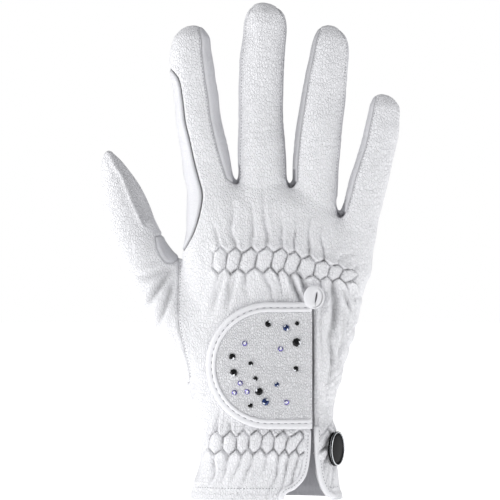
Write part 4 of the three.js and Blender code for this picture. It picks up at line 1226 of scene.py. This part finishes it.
def finish(name):
    """The glove's materials, each made once"""
    if name in bpy.data.materials:
        return bpy.data.materials[name]
    colours = bpy.context.scene.glove_colours
    makers = {
        # Embossed grain of scales 1.2 mm wide and 1.9 mm long: a satin, lightly pebbled white
        "grained leather": lambda: leather(name, colours.grained, 0.5, 1.2, 0.24, 0.6, 0.93),
        # Skived smooth leather: nearly plain, with hair-fine 0.7 mm grain
        "smooth leather": lambda: leather(name, colours.smooth, 0.42, 0.7, 0.05, 0.2, 0.94),
        # Matt flap leather with a fine 0.95 mm grain over soft wrinkles
        "flap leather": lambda: leather(name, colours.flap, 0.6, 0.95, 0.34, 0.5, 0.88),
        # Glazed binding strip, the smoothest leather of the glove
        "glazed binding": lambda: leather(name, colours.binding, 0.36, 0.6, 0.015, 0.05, 0.98),
        "brushed polyester jersey": lambda: brushed_lining(name, colours.lining),
        "twisted polyester thread": lambda: sewing_thread(name, colours.thread),
        "polished steel": lambda: polished_steel(name, colours.steel),
        "black enamel": lambda: black_enamel(name, colours.enamel),
        # Near-white facets: a painted glint on a few facets of each stone
        "painted glint glass": lambda: cut_glass(name, colour("#f4f6fb"), 0.0),
        "jet cut glass": lambda: cut_glass(name, colours.jet, 0.0, 0.3),
        "blue cut glass": lambda: cut_glass(name, colours.blue, 0.85),
        "violet cut glass": lambda: cut_glass(name, colours.violet, 0.85),
    }
    return makers[name]()


# ---------------------------------------------------------------- flap, bindings, stones, badge


def back_at(x, z):
    """Depth of the back's smooth surface at a place in the facing plane"""
    left, right, back, _, _ = palm_section(np.asarray(z, float))
    at = np.minimum(0.98, np.abs((x - (left + right) / 2) / ((right - left) / 2)))
    return -back * (1 - at**PALM_SQUARENESS) ** (1 / PALM_SQUARENESS)


def on_back(x, z, height):
    """Places over the flap's bed on the back"""
    x, z = np.broadcast_arrays(np.asarray(x, float), np.asarray(z, float))
    return np.stack([x, back_at(x, z) - BED - LAY_GAP - height, z], -1)


def back_slope(x, z):
    """Slope of the back's smooth surface sideways and upwards"""
    return (back_at(x + 1, z) - back_at(x - 1, z)) / 2, (back_at(x, z + 1) - back_at(x, z - 1)) / 2


def flap_path(inward, count=48):
    """Outline of the flap, moved inwards: straight along the fold, round at its free end"""
    radius = FLAP_HEIGHT / 2 - inward
    cx, cz = FLAP_LEFT + FLAP_HEIGHT / 2, FLAP_BOTTOM + FLAP_HEIGHT / 2
    angles = np.linspace(math.pi / 2, 1.5 * math.pi, count)
    arc = np.stack([cx + radius * np.cos(angles), cz + radius * np.sin(angles)], -1)
    straight = np.linspace(FLAP_RIGHT, cx, 14)[:-1]
    top = np.stack([straight, np.full(13, cz + radius)], -1)
    low = np.stack([straight[::-1], np.full(13, cz - radius)], -1)
    return np.concatenate([top, arc, low])


def ring_skin(rings, closed=False):
    """Skin through rings of equal point counts, capped at both ends or closed into a loop"""
    count, rows = len(rings[0]), len(rings)
    faces = []
    for row in range(rows if closed else rows - 1):
        a, b = row * count, (row + 1) % rows * count
        for i in range(count):
            j = (i + 1) % count
            faces.append((a + i, a + j, b + j, b + i))
    if not closed:
        faces.append(tuple(range(count))[::-1])
        faces.append(tuple((rows - 1) * count + i for i in range(count)))
    return np.concatenate(rings), faces


def outward(thing):
    """Turns a closed mesh's faces outwards"""
    mesh = bmesh.new()
    mesh.from_mesh(thing.data)
    bmesh.ops.recalc_face_normals(mesh, faces=mesh.faces)
    mesh.to_mesh(thing.data)
    mesh.free()
    return thing


def run_of(path):
    """Length of a path up to each of its points"""
    return np.concatenate([[0], np.cumsum(np.linalg.norm(np.diff(path, axis=0), axis=1))])


def right_of(path):
    """Directions to the right of a path's run"""
    along = np.gradient(path, axis=0)
    along /= np.linalg.norm(along, axis=1, keepdims=True)
    return np.stack([along[:, 1], -along[:, 0]], -1)


def sweep(name, path, section, seat):
    """Closed binding strip along a path: section gives sideways offset and height, seat puts it in space"""
    run = run_of(path)
    rings = []
    for p, right, r in zip(path, right_of(path), run):
        end = min(r, run[-1] - r)
        low = min(1.0, math.sqrt(max(0.0, 1 - (1 - min(end, 1)) ** 2)) * 0.6 + 0.4)
        ring = [[*(p - right * across), height * low] for across, height in section]
        rings.append(seat(*np.array(ring).T))
    points, faces = ring_skin(rings)
    dress(outward(mesh_object(name, points, faces, finish("glazed binding"))), "binding", name)


def binding_section(sizes):
    """Folded tape with a bead along its inner edge"""
    width, thick = sizes.binding_width / MM, sizes.binding_thickness / MM
    bead, proud = sizes.bead_width / MM, sizes.bead_height / MM
    flat = width - bead
    section = [(0, 0.0), (0.0, thick * 0.4), (0.15, thick * 0.68), (0.6, thick * 0.86)]
    section += [(flat * t, thick * (0.86 + 0.1 * math.sin(math.pi * t))) for t in (0.35, 0.6, 0.85)]
    section += [(flat, thick * 0.76), (flat + 0.1, thick * 0.8)]
    for t in np.linspace(0.06, 0.95, 9):
        angle = math.pi * (1 - t)
        across = flat + bead / 2 + math.cos(angle) * bead / 2
        section.append((across, thick * 0.9 + math.sin(angle) * (proud + 0.1)))
    section += [(width, thick * 0.6), (width, 0.0)]
    return section


def make_flap(sizes):
    """The flap's plate follows the back and swells a little between its edges"""
    inward = sizes.binding_width / MM - 0.5
    radius = FLAP_HEIGHT / 2 - inward
    thick = sizes.flap_thickness / MM
    outline = flap_path(inward, 60)
    low, high = outline[-1], outline[0]
    outline = np.concatenate([outline, low + (high - low) * np.linspace(0, 1, 40)[1:-1, None]])
    centre = np.array([(FLAP_LEFT + FLAP_RIGHT) / 2, FLAP_BOTTOM + FLAP_HEIGHT / 2])
    under, over = [], []
    for share in np.linspace(1, 0.02, 26):
        x, z = (centre + (outline - centre) * share).T
        flat = np.stack([x, np.zeros(len(x)), z], -1)
        round_off = -0.5 * (1 - np.minimum(1, (1 - share) * radius / 1.6)) ** 2
        swell = round_off + 0.13 * lumps(flat, 13, 71) + 0.05 * lumps(flat, 5, 72)
        under.append(on_back(x, z, 0.0))
        over.append(on_back(x, z, thick + swell))
    points, faces = ring_skin(under[::-1] + over)
    plate = outward(mesh_object("closure_flap", points, faces, finish("flap leather")))
    dress(plate, "flap_leather", "closure_flap")


def on_skin(x, z, height):
    """Places over the filled hand's surface, under its gathers"""
    points = skin_at(x, z)
    normal, _ = slope_of(points)
    return points + normal * (height + 0.25)[:, None]


def make_bindings(sizes):
    sweep("flap_binding", flap_path(0.0), binding_section(sizes), on_back)
    sides = (("vent_binding_left", VENT_LEFT, -1, FLAP_BOTTOM - 0.2),
             ("vent_binding_right", VENT_RIGHT, 1, FLAP_BOTTOM + 1.5))
    width, overlap, proud, foot = 3.0, 0.35, 1.15, -0.6
    for name, rows, sign, top in sides:
        path = eased(vent_side(rows), 10)
        path = path[(path[:, 1] > 0.3) & (path[:, 1] < top)]
        section = [(sign * (width * t - overlap), 0.2 + proud * math.sin(math.pi * t) ** 0.45)
                   for t in np.linspace(0, 1, 9)]
        section = [(section[0][0], foot)] + section + [(section[-1][0], foot)]
        sweep(name, path, section, on_skin)


def make_loop(sizes):
    """Pull loop: the binding's end coiled round a narrow slit, with painted shade: the slit painted black,
    the coil's groove and a thin line under the slit painted darker
    """
    wide, high = sizes.loop_width / MM / 2, sizes.loop_height / MM / 2
    thick = sizes.loop_thickness / MM
    z0 = FLAP_TOP + high - 3.4
    x0 = FLAP_RIGHT + 0.7
    y0 = float(back_at(x0, z0)) - BED - LAY_GAP - 0.9
    around, across = 64, 40
    rings, shade = [], []
    for i in range(around):
        a = 2 * math.pi * i / around
        ox, oz = wide * math.cos(a), high * math.sin(a)
        ix, iz = 1.0 + 0.08 * math.cos(a), 2.3 * math.sin(a)
        coil = max(0.0, math.cos(a + 0.3)) ** 0.5
        ring = []
        for j in range(across):
            b = 2 * math.pi * j / across
            t = 0.5 + 0.5 * math.cos(b)
            swell = math.copysign(abs(math.sin(b)) ** 0.75, math.sin(b))
            x, z = ix + (ox - ix) * t, iz + (oz - iz) * t
            groove = coil * math.exp(-(((t - 0.7) / 0.09) ** 2)) if swell > 0 else 0
            slit = math.exp(-(math.hypot((x - 1.0 - 0.1 * z) / 0.42, z / 2.4) ** 4))
            tail = 0.5 * math.exp(-(((x - 0.8) / 0.22) ** 2)) if z < 0 < swell else 0
            # Painted shade of the slit, the groove and the line under the slit
            shade.append(max(slit, 0.45 * groove, tail))
            y = thick * 0.5 * (1 + swell * (1 - 0.25 * t)) - (0.8 * groove + 0.9 * slit * (swell > 0))
            ring.append((x + 0.35 * math.sin(a) * (y / thick), -y, z))
        rings.append(ring)
    points, faces = ring_skin(rings, closed=True)
    turn = math.atan2(float(back_slope(x0, z0)[0]), 1)
    cos, sin = math.cos(turn), math.sin(turn)
    x, y = points[:, 0] * cos - points[:, 1] * sin, points[:, 0] * sin + points[:, 1] * cos
    points = np.stack([x + x0, y + y0, points[:, 2] + z0], -1)
    glazed = finish("glazed binding")
    loop = outward(mesh_object("pull_loop", points, faces, glazed, crease=np.array(shade)))
    dress(loop, "binding", "pull_loop")


def turned_to(out):
    """Two directions across an outward one"""
    out = np.asarray(out, float) / np.linalg.norm(out)
    a = np.cross(out, (0.0, 0.0, 1.0))
    a /= np.linalg.norm(a)
    return a, np.cross(a, out), out


def stone_skin(radius, spin):
    """Flat-backed round cut: table, two rows of crown facets and a thin girdle"""
    points, faces = [], []
    for height, wide, half_turn in ((0.0, 1.0, 0.0), (0.18, 1.0, 0.0), (0.5, 0.82, 0.5), (0.66, 0.5, 0.0)):
        for i in range(8):
            a = 2 * math.pi * (i + half_turn) / 8 + spin
            points.append((radius * wide * math.cos(a), radius * wide * math.sin(a), radius * height))
    for i in range(8):
        j = (i + 1) % 8
        faces.append((i, j, 8 + j, 8 + i))
        faces.append((8 + i, 8 + j, 16 + i))
        faces.append((8 + j, 16 + j, 16 + i))
        faces.append((16 + i, 16 + j, 24 + j))
        faces.append((16 + i, 24 + j, 24 + i))
    faces.append(tuple(range(24, 32)))
    faces.append(tuple(range(8))[::-1])
    return np.array(points), faces


def make_stones(sizes):
    # Facets painted near-white as painted glints: a few neighbours of jet's crown, opposite ones of blue,
    # violet's table
    painted_glint_facets = {"jet": (11, 12, 13, 14, 16, 17), "blue": (3, 4, 23, 24, 22), "violet": (40, 3, 4)}
    for kind in ("jet", "blue", "violet"):
        points, faces, nodes, bright = [], [], [], []
        for i, (across, up, size, of_kind) in enumerate(STONES):
            if of_kind != kind:
                continue
            x, z = FLAP_LEFT + across * FLAP_LENGTH, FLAP_BOTTOM + up * FLAP_HEIGHT
            seat = on_back(x, z, sizes.flap_thickness / MM + 0.08)
            slope_x, slope_z = back_slope(x, z)
            a, b, out = turned_to((slope_x, -1, slope_z))
            skin, own = stone_skin(size * STONE_DIAMETER / 2, 0.3 * i)
            start = len(points)
            if size > 0.55:
                bright += [len(faces) + k for k in painted_glint_facets[kind]]
            points += [seat + a * p[0] + b * p[1] + out * p[2] for p in skin]
            faces += [tuple(start + k for k in face) for face in own]
            nodes.append(f"stone_{i + 1:02d}")
        cut = outward(mesh_object(f"stones_{kind}", points, faces, finish(f"{kind} cut glass"), False))
        # The glint facets take the near-white material, a painted glint
        cut.data.materials.append(finish("painted glint glass"))
        for k in bright:
            cut.data.polygons[k].material_index = 1
        dress(cut, f"stone_{kind}", *nodes)


def turned_rings(profile, seat, axes):
    """Rings of a turned piece: profile gives radius and height along the seat's outward axis"""
    a, b, out = axes
    angles = 2 * math.pi * np.arange(72) / 72
    round_trip = np.outer(np.cos(angles), a) + np.outer(np.sin(angles), b)
    return [seat + radius * round_trip + height * out for radius, height in profile]


def badge_place():
    left, right, back, _, _ = [float(v) for v in palm_section(np.array(BADGE_HEIGHT))]
    half = (right - left) / 2
    t = np.linspace(0.6, 0.995, 201)
    bulge = (1 - t**PALM_SQUARENESS) ** (1 / PALM_SQUARENESS)
    nx = t ** (PALM_SQUARENESS - 1) / half
    ny = bulge ** (PALM_SQUARENESS - 1) / back
    at = np.argmin(np.abs(np.arctan2(nx, ny) - BADGE_TURN))
    point = np.array([(left + right) / 2 + half * t[at], -back * bulge[at], BADGE_HEIGHT])
    return point, np.array([math.sin(BADGE_TURN), -math.cos(BADGE_TURN), 0.0])


def make_badge(sizes):
    """Round badge on a stud: domed back plate, turned rim and a bare poured face"""
    point, out = badge_place()
    axes = turned_to(out)
    seat = point + out * LAY_GAP
    r = sizes.badge_diameter / MM / 2
    stand = 0.9
    steel, enamel = finish("polished steel"), finish("black enamel")
    plate = [(0.01, -1.5), (3.0, -1.5), (3.0, stand - 0.2), (3.2, stand), (r - 0.35, stand),
             (r - 0.1, stand + 0.08), (r, stand + 0.25), (r, stand + 0.55), (r - 0.12, stand + 0.72),
             (r - 0.35, stand + 0.8), (r - 2, stand + 0.8), (0.01, stand + 0.8)]
    base = outward(mesh_object("badge_base", *ring_skin(turned_rings(plate, seat, axes)), enamel))
    dress(base, "badge_steel", "badge_base")
    low = stand + 0.8 + 0.1
    high = stand + 0.8 + SEAM_GAP + 1.1
    inner = r - 0.95
    rim = [(inner, low), (r - 0.45, low), (r - 0.3, low + 0.05), (r - 0.2, low + 0.2),
           (r - 0.2, low + 0.45), (r - 0.05, low + 0.55), (r, low + 0.75), (r, high - 0.5),
           (r - 0.08, high - 0.22), (r - 0.3, high - 0.04), (r - 0.55, high), (r - 0.8, high - 0.05),
           (inner + 0.12, high - 0.3), (inner, high - 0.55)]
    points, faces = ring_skin(turned_rings(rim, seat, axes), closed=True)
    turned = outward(mesh_object("badge_rim", points, faces, steel))
    turned.data.materials.append(enamel)
    for polygon in turned.data.polygons:
        height = float(np.dot(np.array(polygon.center) / MM - seat, out))
        polygon.material_index = int(height < high - 0.3 and not low + 0.3 < height < low + 0.62)
    dress(turned, "badge_steel", "badge_rim")
    top = low + 0.9
    wide = inner - 0.02
    face = [(0.01, low), (wide, low), (wide, top - 0.35), (wide - 0.1, top - 0.18),
            (wide * 0.8, top - 0.02), (wide * 0.45, top + 0.08), (0.01, top + 0.12)]
    bare = outward(mesh_object("badge_face", *ring_skin(turned_rings(face, seat, axes)), enamel))
    dress(bare, "badge_black", "badge_face")


# ---------------------------------------------------------------- stitches


def stitch_tree():
    """Stitches set out along a path: one slim capsule of thread every pitch, laid on the leather"""
    tree = bpy.data.node_groups.new("Stitch row", "GeometryNodeTree")
    tree.interface.new_socket("Geometry", in_out="INPUT", socket_type="NodeSocketGeometry")
    for name, value in (("Pitch", 0.0023), ("Length", 0.0017), ("Thread", 0.0004)):
        socket = tree.interface.new_socket(name, in_out="INPUT", socket_type="NodeSocketFloat")
        socket.default_value = value
    tree.interface.new_socket("Seed", in_out="INPUT", socket_type="NodeSocketInt")
    tree.interface.new_socket("Material", in_out="INPUT", socket_type="NodeSocketMaterial")
    tree.interface.new_socket("Geometry", in_out="OUTPUT", socket_type="NodeSocketGeometry")
    given = add_node(tree, "NodeGroupInput").outputs
    curve = add_node(tree, "GeometryNodeMeshToCurve", links={"Mesh": given["Geometry"]})
    spaced = add_node(tree, "GeometryNodeResampleCurve", {"mode": "LENGTH"},
                      {"Curve": curve.outputs[0], "Length": given["Pitch"]})
    bead = add_node(tree, "GeometryNodeMeshUVSphere", Segments=6, Rings=5, Radius=0.5)
    size = add_node(tree, "ShaderNodeCombineXYZ",
                    links={"X": given["Length"], "Y": given["Thread"], "Z": given["Thread"]})
    capsule = add_node(tree, "GeometryNodeTransform",
                       links={"Geometry": bead.outputs[0], "Scale": size.outputs[0]})
    run = add_node(tree, "GeometryNodeInputTangent")
    away = add_node(tree, "GeometryNodeInputNamedAttribute", {"data_type": "FLOAT_VECTOR"}, Name="outward")
    lie = add_node(tree, "FunctionNodeAlignRotationToVector", {"axis": "X"}, {"Vector": run.outputs[0]})
    stand = add_node(tree, "FunctionNodeAlignRotationToVector", {"axis": "Z", "pivot_axis": "X"},
                     {"Rotation": lie.outputs[0], "Vector": away.outputs[0]})
    vary = add_node(tree, "FunctionNodeRandomValue", {"data_type": "FLOAT"}, {"Seed": given["Seed"]})
    vary.inputs[2].default_value = 0.88
    vary.inputs[3].default_value = 1.1
    rows = add_node(tree, "GeometryNodeInstanceOnPoints",
                    links={"Points": spaced.outputs[0], "Instance": capsule.outputs[0],
                           "Rotation": stand.outputs[0], "Scale": vary.outputs[1]})
    real = add_node(tree, "GeometryNodeRealizeInstances", links={"Geometry": rows.outputs[0]})
    soft = add_node(tree, "GeometryNodeSetShadeSmooth", links={"Geometry": real.outputs[0]})
    thread = add_node(tree, "GeometryNodeSetMaterial",
                      links={"Geometry": soft.outputs[0], "Material": given["Material"]})
    add_node(tree, "NodeGroupOutput", links={"Geometry": thread.outputs[0]})
    return tree


def stitch_rows(name, rows, slot, kind=""):
    """One object of stitches along several rows of points, each row with its outward directions"""
    sizes = bpy.context.scene.glove_sizes
    points, edges, away = [], [], []
    for row, normals in rows:
        start = len(points)
        points += list(row)
        away += list(normals)
        edges += [(start + i, start + i + 1) for i in range(len(row) - 1)]
    mesh = bpy.data.meshes.new(name)
    mesh.from_pydata((np.array(points) * MM).tolist(), edges, [])
    layer = mesh.attributes.new("outward", "FLOAT_VECTOR", "POINT")
    layer.data.foreach_set("vector", np.array(away, np.float32).ravel())
    thing = bpy.data.objects.new(name, mesh)
    bpy.context.scene.collection.objects.link(thing)
    tree = bpy.data.node_groups.get("Stitch row") or stitch_tree()
    modifier = thing.modifiers.new("Stitches", "NODES")
    modifier.node_group = tree
    values = {
        "Pitch": getattr(sizes, kind + "stitch_pitch"), "Length": getattr(sizes, kind + "stitch_length"),
        "Thread": getattr(sizes, kind + "thread"), "Seed": bpy.context.scene.glove_stage.seed,
        "Material": finish("twisted polyester thread"),
    }
    for item in tree.interface.items_tree:
        if item.in_out == "INPUT" and item.name in values:
            modifier[item.identifier] = values[item.name]
    bpy.context.view_layer.update()
    done = bpy.data.meshes.new_from_object(thing.evaluated_get(bpy.context.evaluated_depsgraph_get()))
    thing.modifiers.clear()
    thing.data = done
    done.name = name
    dress(thing, slot)


def row_on_skin(path, sizes):
    """Row of points along a path in the facing plane, lying on the gathered leather"""
    run = run_of(path)
    at = np.arange(0, run[-1], 0.8)
    points = skin_at(np.interp(at, run, path[:, 0]), np.interp(at, run, path[:, 1]))
    normal, _ = slope_of(points)
    lift, _ = skin_lift(points, normal, sizes)
    return points + normal * (lift + THREAD_LIE)[:, None], normal


def row_on_back(path, height):
    """Row of points along a path over the flap's bed"""
    x, z = path.T
    slope_x, slope_z = back_slope(x, z)
    normal = np.stack([slope_x, -np.ones(len(path)), slope_z], -1)
    return on_back(x, z, height), normal / np.linalg.norm(normal, axis=1, keepdims=True)


def row_on_strip(path, height):
    """Row of points along a binding strip that lies on the hand without its gathers"""
    points = skin_at(path[:, 0], path[:, 1])
    normal, _ = slope_of(points)
    return points + normal * height, normal


def shifted(path, by):
    """Path moved sideways, to the right of its run for a positive distance"""
    return path + right_of(path) * by


def make_stitches(sizes):
    inset = (sizes.binding_width - sizes.bead_width) / MM - 0.15
    around = row_on_back(flap_path(inset), sizes.binding_thickness / MM + 0.02)
    stitch_rows("flap_stitches", [around], "binding", "flap_")
    starts = {"index": 1.03, "middle": 1.04, "ring": 1.04, "little": 0.93}
    seams = []
    for name, start in starts.items():
        for side, inward in ((0, 0.9), (1, -0.9)):
            if abs(FINGER_SEAMS[name][side]) <= 1:
                path = finger_seam(name, side, start * PALM_LENGTH + 2, 60)
                seams.append(row_on_skin(shifted(path, inward), sizes))
    base = eased(placed(THUMB_SEAM))
    base = base[(base[:, 1] < 0.78 * PALM_LENGTH) & (base[:, 1] > 0.4 * PALM_LENGTH)]
    seams.append(row_on_skin(shifted(base, -0.9), sizes))
    stitch_rows("seam_stitches", seams, "grained_leather")
    rows = []
    for left, right, count in ((-34, 4, 60), (31, 35, 12)):
        hem = np.stack([np.linspace(left, right, count), np.full(count, 6.2)], -1)
        rows.append(row_on_skin(hem, sizes))
    for side, sign in ((VENT_LEFT, -1), (VENT_RIGHT, 1)):
        path = eased(vent_side(side), 10)
        path = path[(path[:, 1] > 3) & (path[:, 1] < FLAP_BOTTOM - 1)]
        rows.append(row_on_strip(shifted(path, -1.5 * sign), 1.75))
    stitch_rows("hem_stitches", rows, "grained_leather")


# ---------------------------------------------------------------- stage


def make_stage(stage):
    scene = bpy.context.scene
    camera = bpy.data.cameras.new("camera")
    camera.sensor_width = 36
    camera.lens = 36 * stage.distance / stage.view_height
    eye = bpy.data.objects.new("camera", camera)
    eye.location = (stage.aim_across, -0.012 - stage.distance, stage.aim_up)
    eye.rotation_euler = (math.pi / 2, 0, 0)
    scene.collection.objects.link(eye)
    scene.camera = eye
    low = -0.004
    mesh = bpy.data.meshes.new("floor")
    mesh.from_pydata([(-4, -4, low), (4, -4, low), (4, 4, low), (-4, 4, low)], [], [(0, 1, 2, 3)])
    floor = bpy.data.objects.new("floor", mesh)
    scene.collection.objects.link(floor)
    # Matt painted board: pale and even, so the glove's soft shadow is all that shows on it
    material, tree, shader, place = new_material(
        "matt painted board", Roughness=0.9, Emission_Color=(1, 1, 1, 1), Emission_Strength=0.8)
    speck = add_node(tree, "ShaderNodeTexNoise", links={"Vector": place}, Scale=30.0, Detail=3.0)
    tree.links.new(spread(tree, speck.outputs["Fac"], 0.93, 0.97), shader.inputs["Base Color"])
    mesh.materials.append(material)
    world = bpy.data.worlds.new("studio air")
    world.use_nodes = True
    tree = world.node_tree
    tree.nodes.clear()
    seen = add_node(tree, "ShaderNodeBackground", Color=(1, 1, 1, 1), Strength=1.0)
    air = add_node(tree, "ShaderNodeBackground", Color=(0.97, 0.98, 1, 1), Strength=stage.air)
    ray = add_node(tree, "ShaderNodeLightPath")
    mix = add_node(tree, "ShaderNodeMixShader",
                   links={0: ray.outputs["Is Camera Ray"], 1: air.outputs[0], 2: seen.outputs[0]})
    add_node(tree, "ShaderNodeOutputWorld", links={"Surface": mix.outputs[0]})
    scene.world = world
    scene.view_settings.view_transform = "Standard"
    middle = Vector((stage.aim_across, 0, stage.aim_up))
    lamps = [
        ("front soft light", stage.key, (-0.95, -0.85, 0.8), 0.35),
        ("left side light", stage.fill, (-1.0, 0.02, 0.15), 0.5),
        ("right side light", stage.fill * 0.8, (1.0, -0.02, 0.08), 0.5),
    ]
    for name, power, place, size in lamps:
        data = bpy.data.lights.new(name, "AREA")
        data.energy = power
        data.size = size
        lamp = bpy.data.objects.new(name, data)
        lamp.location = place
        lamp.rotation_mode = "QUATERNION"
        lamp.rotation_quaternion = (middle - Vector(place)).to_track_quat("-Z", "Y")
        lamp.visible_camera = False
        scene.collection.objects.link(lamp)


# ---------------------------------------------------------------- operators and panel


class GLOVE_OT_skin(bpy.types.Operator):
    """Makes the sewn leather panels, with their gathers, folds and seams"""

    bl_idname = "glove.skin"
    bl_label = "Leather panels"

    def execute(self, context):
        panels = make_skin(context.scene.glove_sizes)
        lining = finish("brushed polyester jersey")
        # Each panel brings its painted shade, which goes into the crease attribute
        for name, (points, faces, inside_from, crease) in panels.items():
            grained = name in ("back_panel", "thumb")
            leather_name = "grained leather" if grained else "smooth leather"
            panel = mesh_object(name, points, faces, finish(leather_name), True, lining, inside_from,
                                crease)
            dress(panel, "grained_leather" if grained else "smooth_leather", name)
        return {"FINISHED"}


class FromSizes:
    """What the operators share that make pieces from the glove's sizes alone"""

    makers = ()

    def execute(self, context):
        for make in self.makers:
            make(context.scene.glove_sizes)
        return {"FINISHED"}


class GLOVE_OT_flap(FromSizes, bpy.types.Operator):
    """Makes the closure flap"""

    bl_idname = "glove.flap"
    bl_label = "Closure flap"
    makers = (make_flap,)


class GLOVE_OT_bindings(FromSizes, bpy.types.Operator):
    """Makes the bindings of the flap and the vent, and the pull loop"""

    bl_idname = "glove.bindings"
    bl_label = "Bindings and loop"
    makers = (make_bindings, make_loop)


class GLOVE_OT_stones(FromSizes, bpy.types.Operator):
    """Makes the cut stones on the flap"""

    bl_idname = "glove.stones"
    bl_label = "Cut stones"
    makers = (make_stones,)


class GLOVE_OT_badge(FromSizes, bpy.types.Operator):
    """Makes the bare round badge on the cuff"""

    bl_idname = "glove.badge"
    bl_label = "Badge"
    makers = (make_badge,)


class GLOVE_OT_stitches(FromSizes, bpy.types.Operator):
    """Makes the rows of stitches"""

    bl_idname = "glove.stitches"
    bl_label = "Stitches"
    makers = (make_stitches,)


class GLOVE_OT_stage(bpy.types.Operator):
    """Makes the floor, lights and camera"""

    bl_idname = "glove.stage"
    bl_label = "Stage"

    def execute(self, context):
        make_stage(context.scene.glove_stage)
        return {"FINISHED"}


OPERATORS = (GLOVE_OT_skin, GLOVE_OT_flap, GLOVE_OT_bindings, GLOVE_OT_stones, GLOVE_OT_badge,
             GLOVE_OT_stitches, GLOVE_OT_stage)


class GLOVE_PT_panel(bpy.types.Panel):
    """Sizes, colours and pieces of the glove"""

    bl_idname = "GLOVE_PT_panel"
    bl_label = "Riding glove"
    bl_space_type = "VIEW_3D"
    bl_region_type = "UI"
    bl_category = "Glove"

    def draw(self, context):
        for operator in OPERATORS:
            self.layout.operator(operator.bl_idname)
        for group in (context.scene.glove_sizes, context.scene.glove_colours, context.scene.glove_stage):
            for name in group.bl_rna.properties.keys():
                if name not in ("name", "rna_type"):
                    self.layout.prop(group, name)


CLASSES = (GloveSizes, GloveColours, GloveStage, *OPERATORS, GLOVE_PT_panel)


def register():
    for item in CLASSES:
        bpy.utils.register_class(item)
    bpy.types.Scene.glove_sizes = PointerProperty(type=GloveSizes)
    bpy.types.Scene.glove_colours = PointerProperty(type=GloveColours)
    bpy.types.Scene.glove_stage = PointerProperty(type=GloveStage)


def unregister():
    del bpy.types.Scene.glove_stage
    del bpy.types.Scene.glove_colours
    del bpy.types.Scene.glove_sizes
    for item in reversed(CLASSES):
        bpy.utils.unregister_class(item)


def main():
    register()
    bpy.ops.glove.skin()
    bpy.ops.glove.flap()
    bpy.ops.glove.bindings()
    bpy.ops.glove.stones()
    bpy.ops.glove.badge()
    bpy.ops.glove.stitches()
    bpy.ops.glove.stage()


if __name__ == "__main__":
    main()
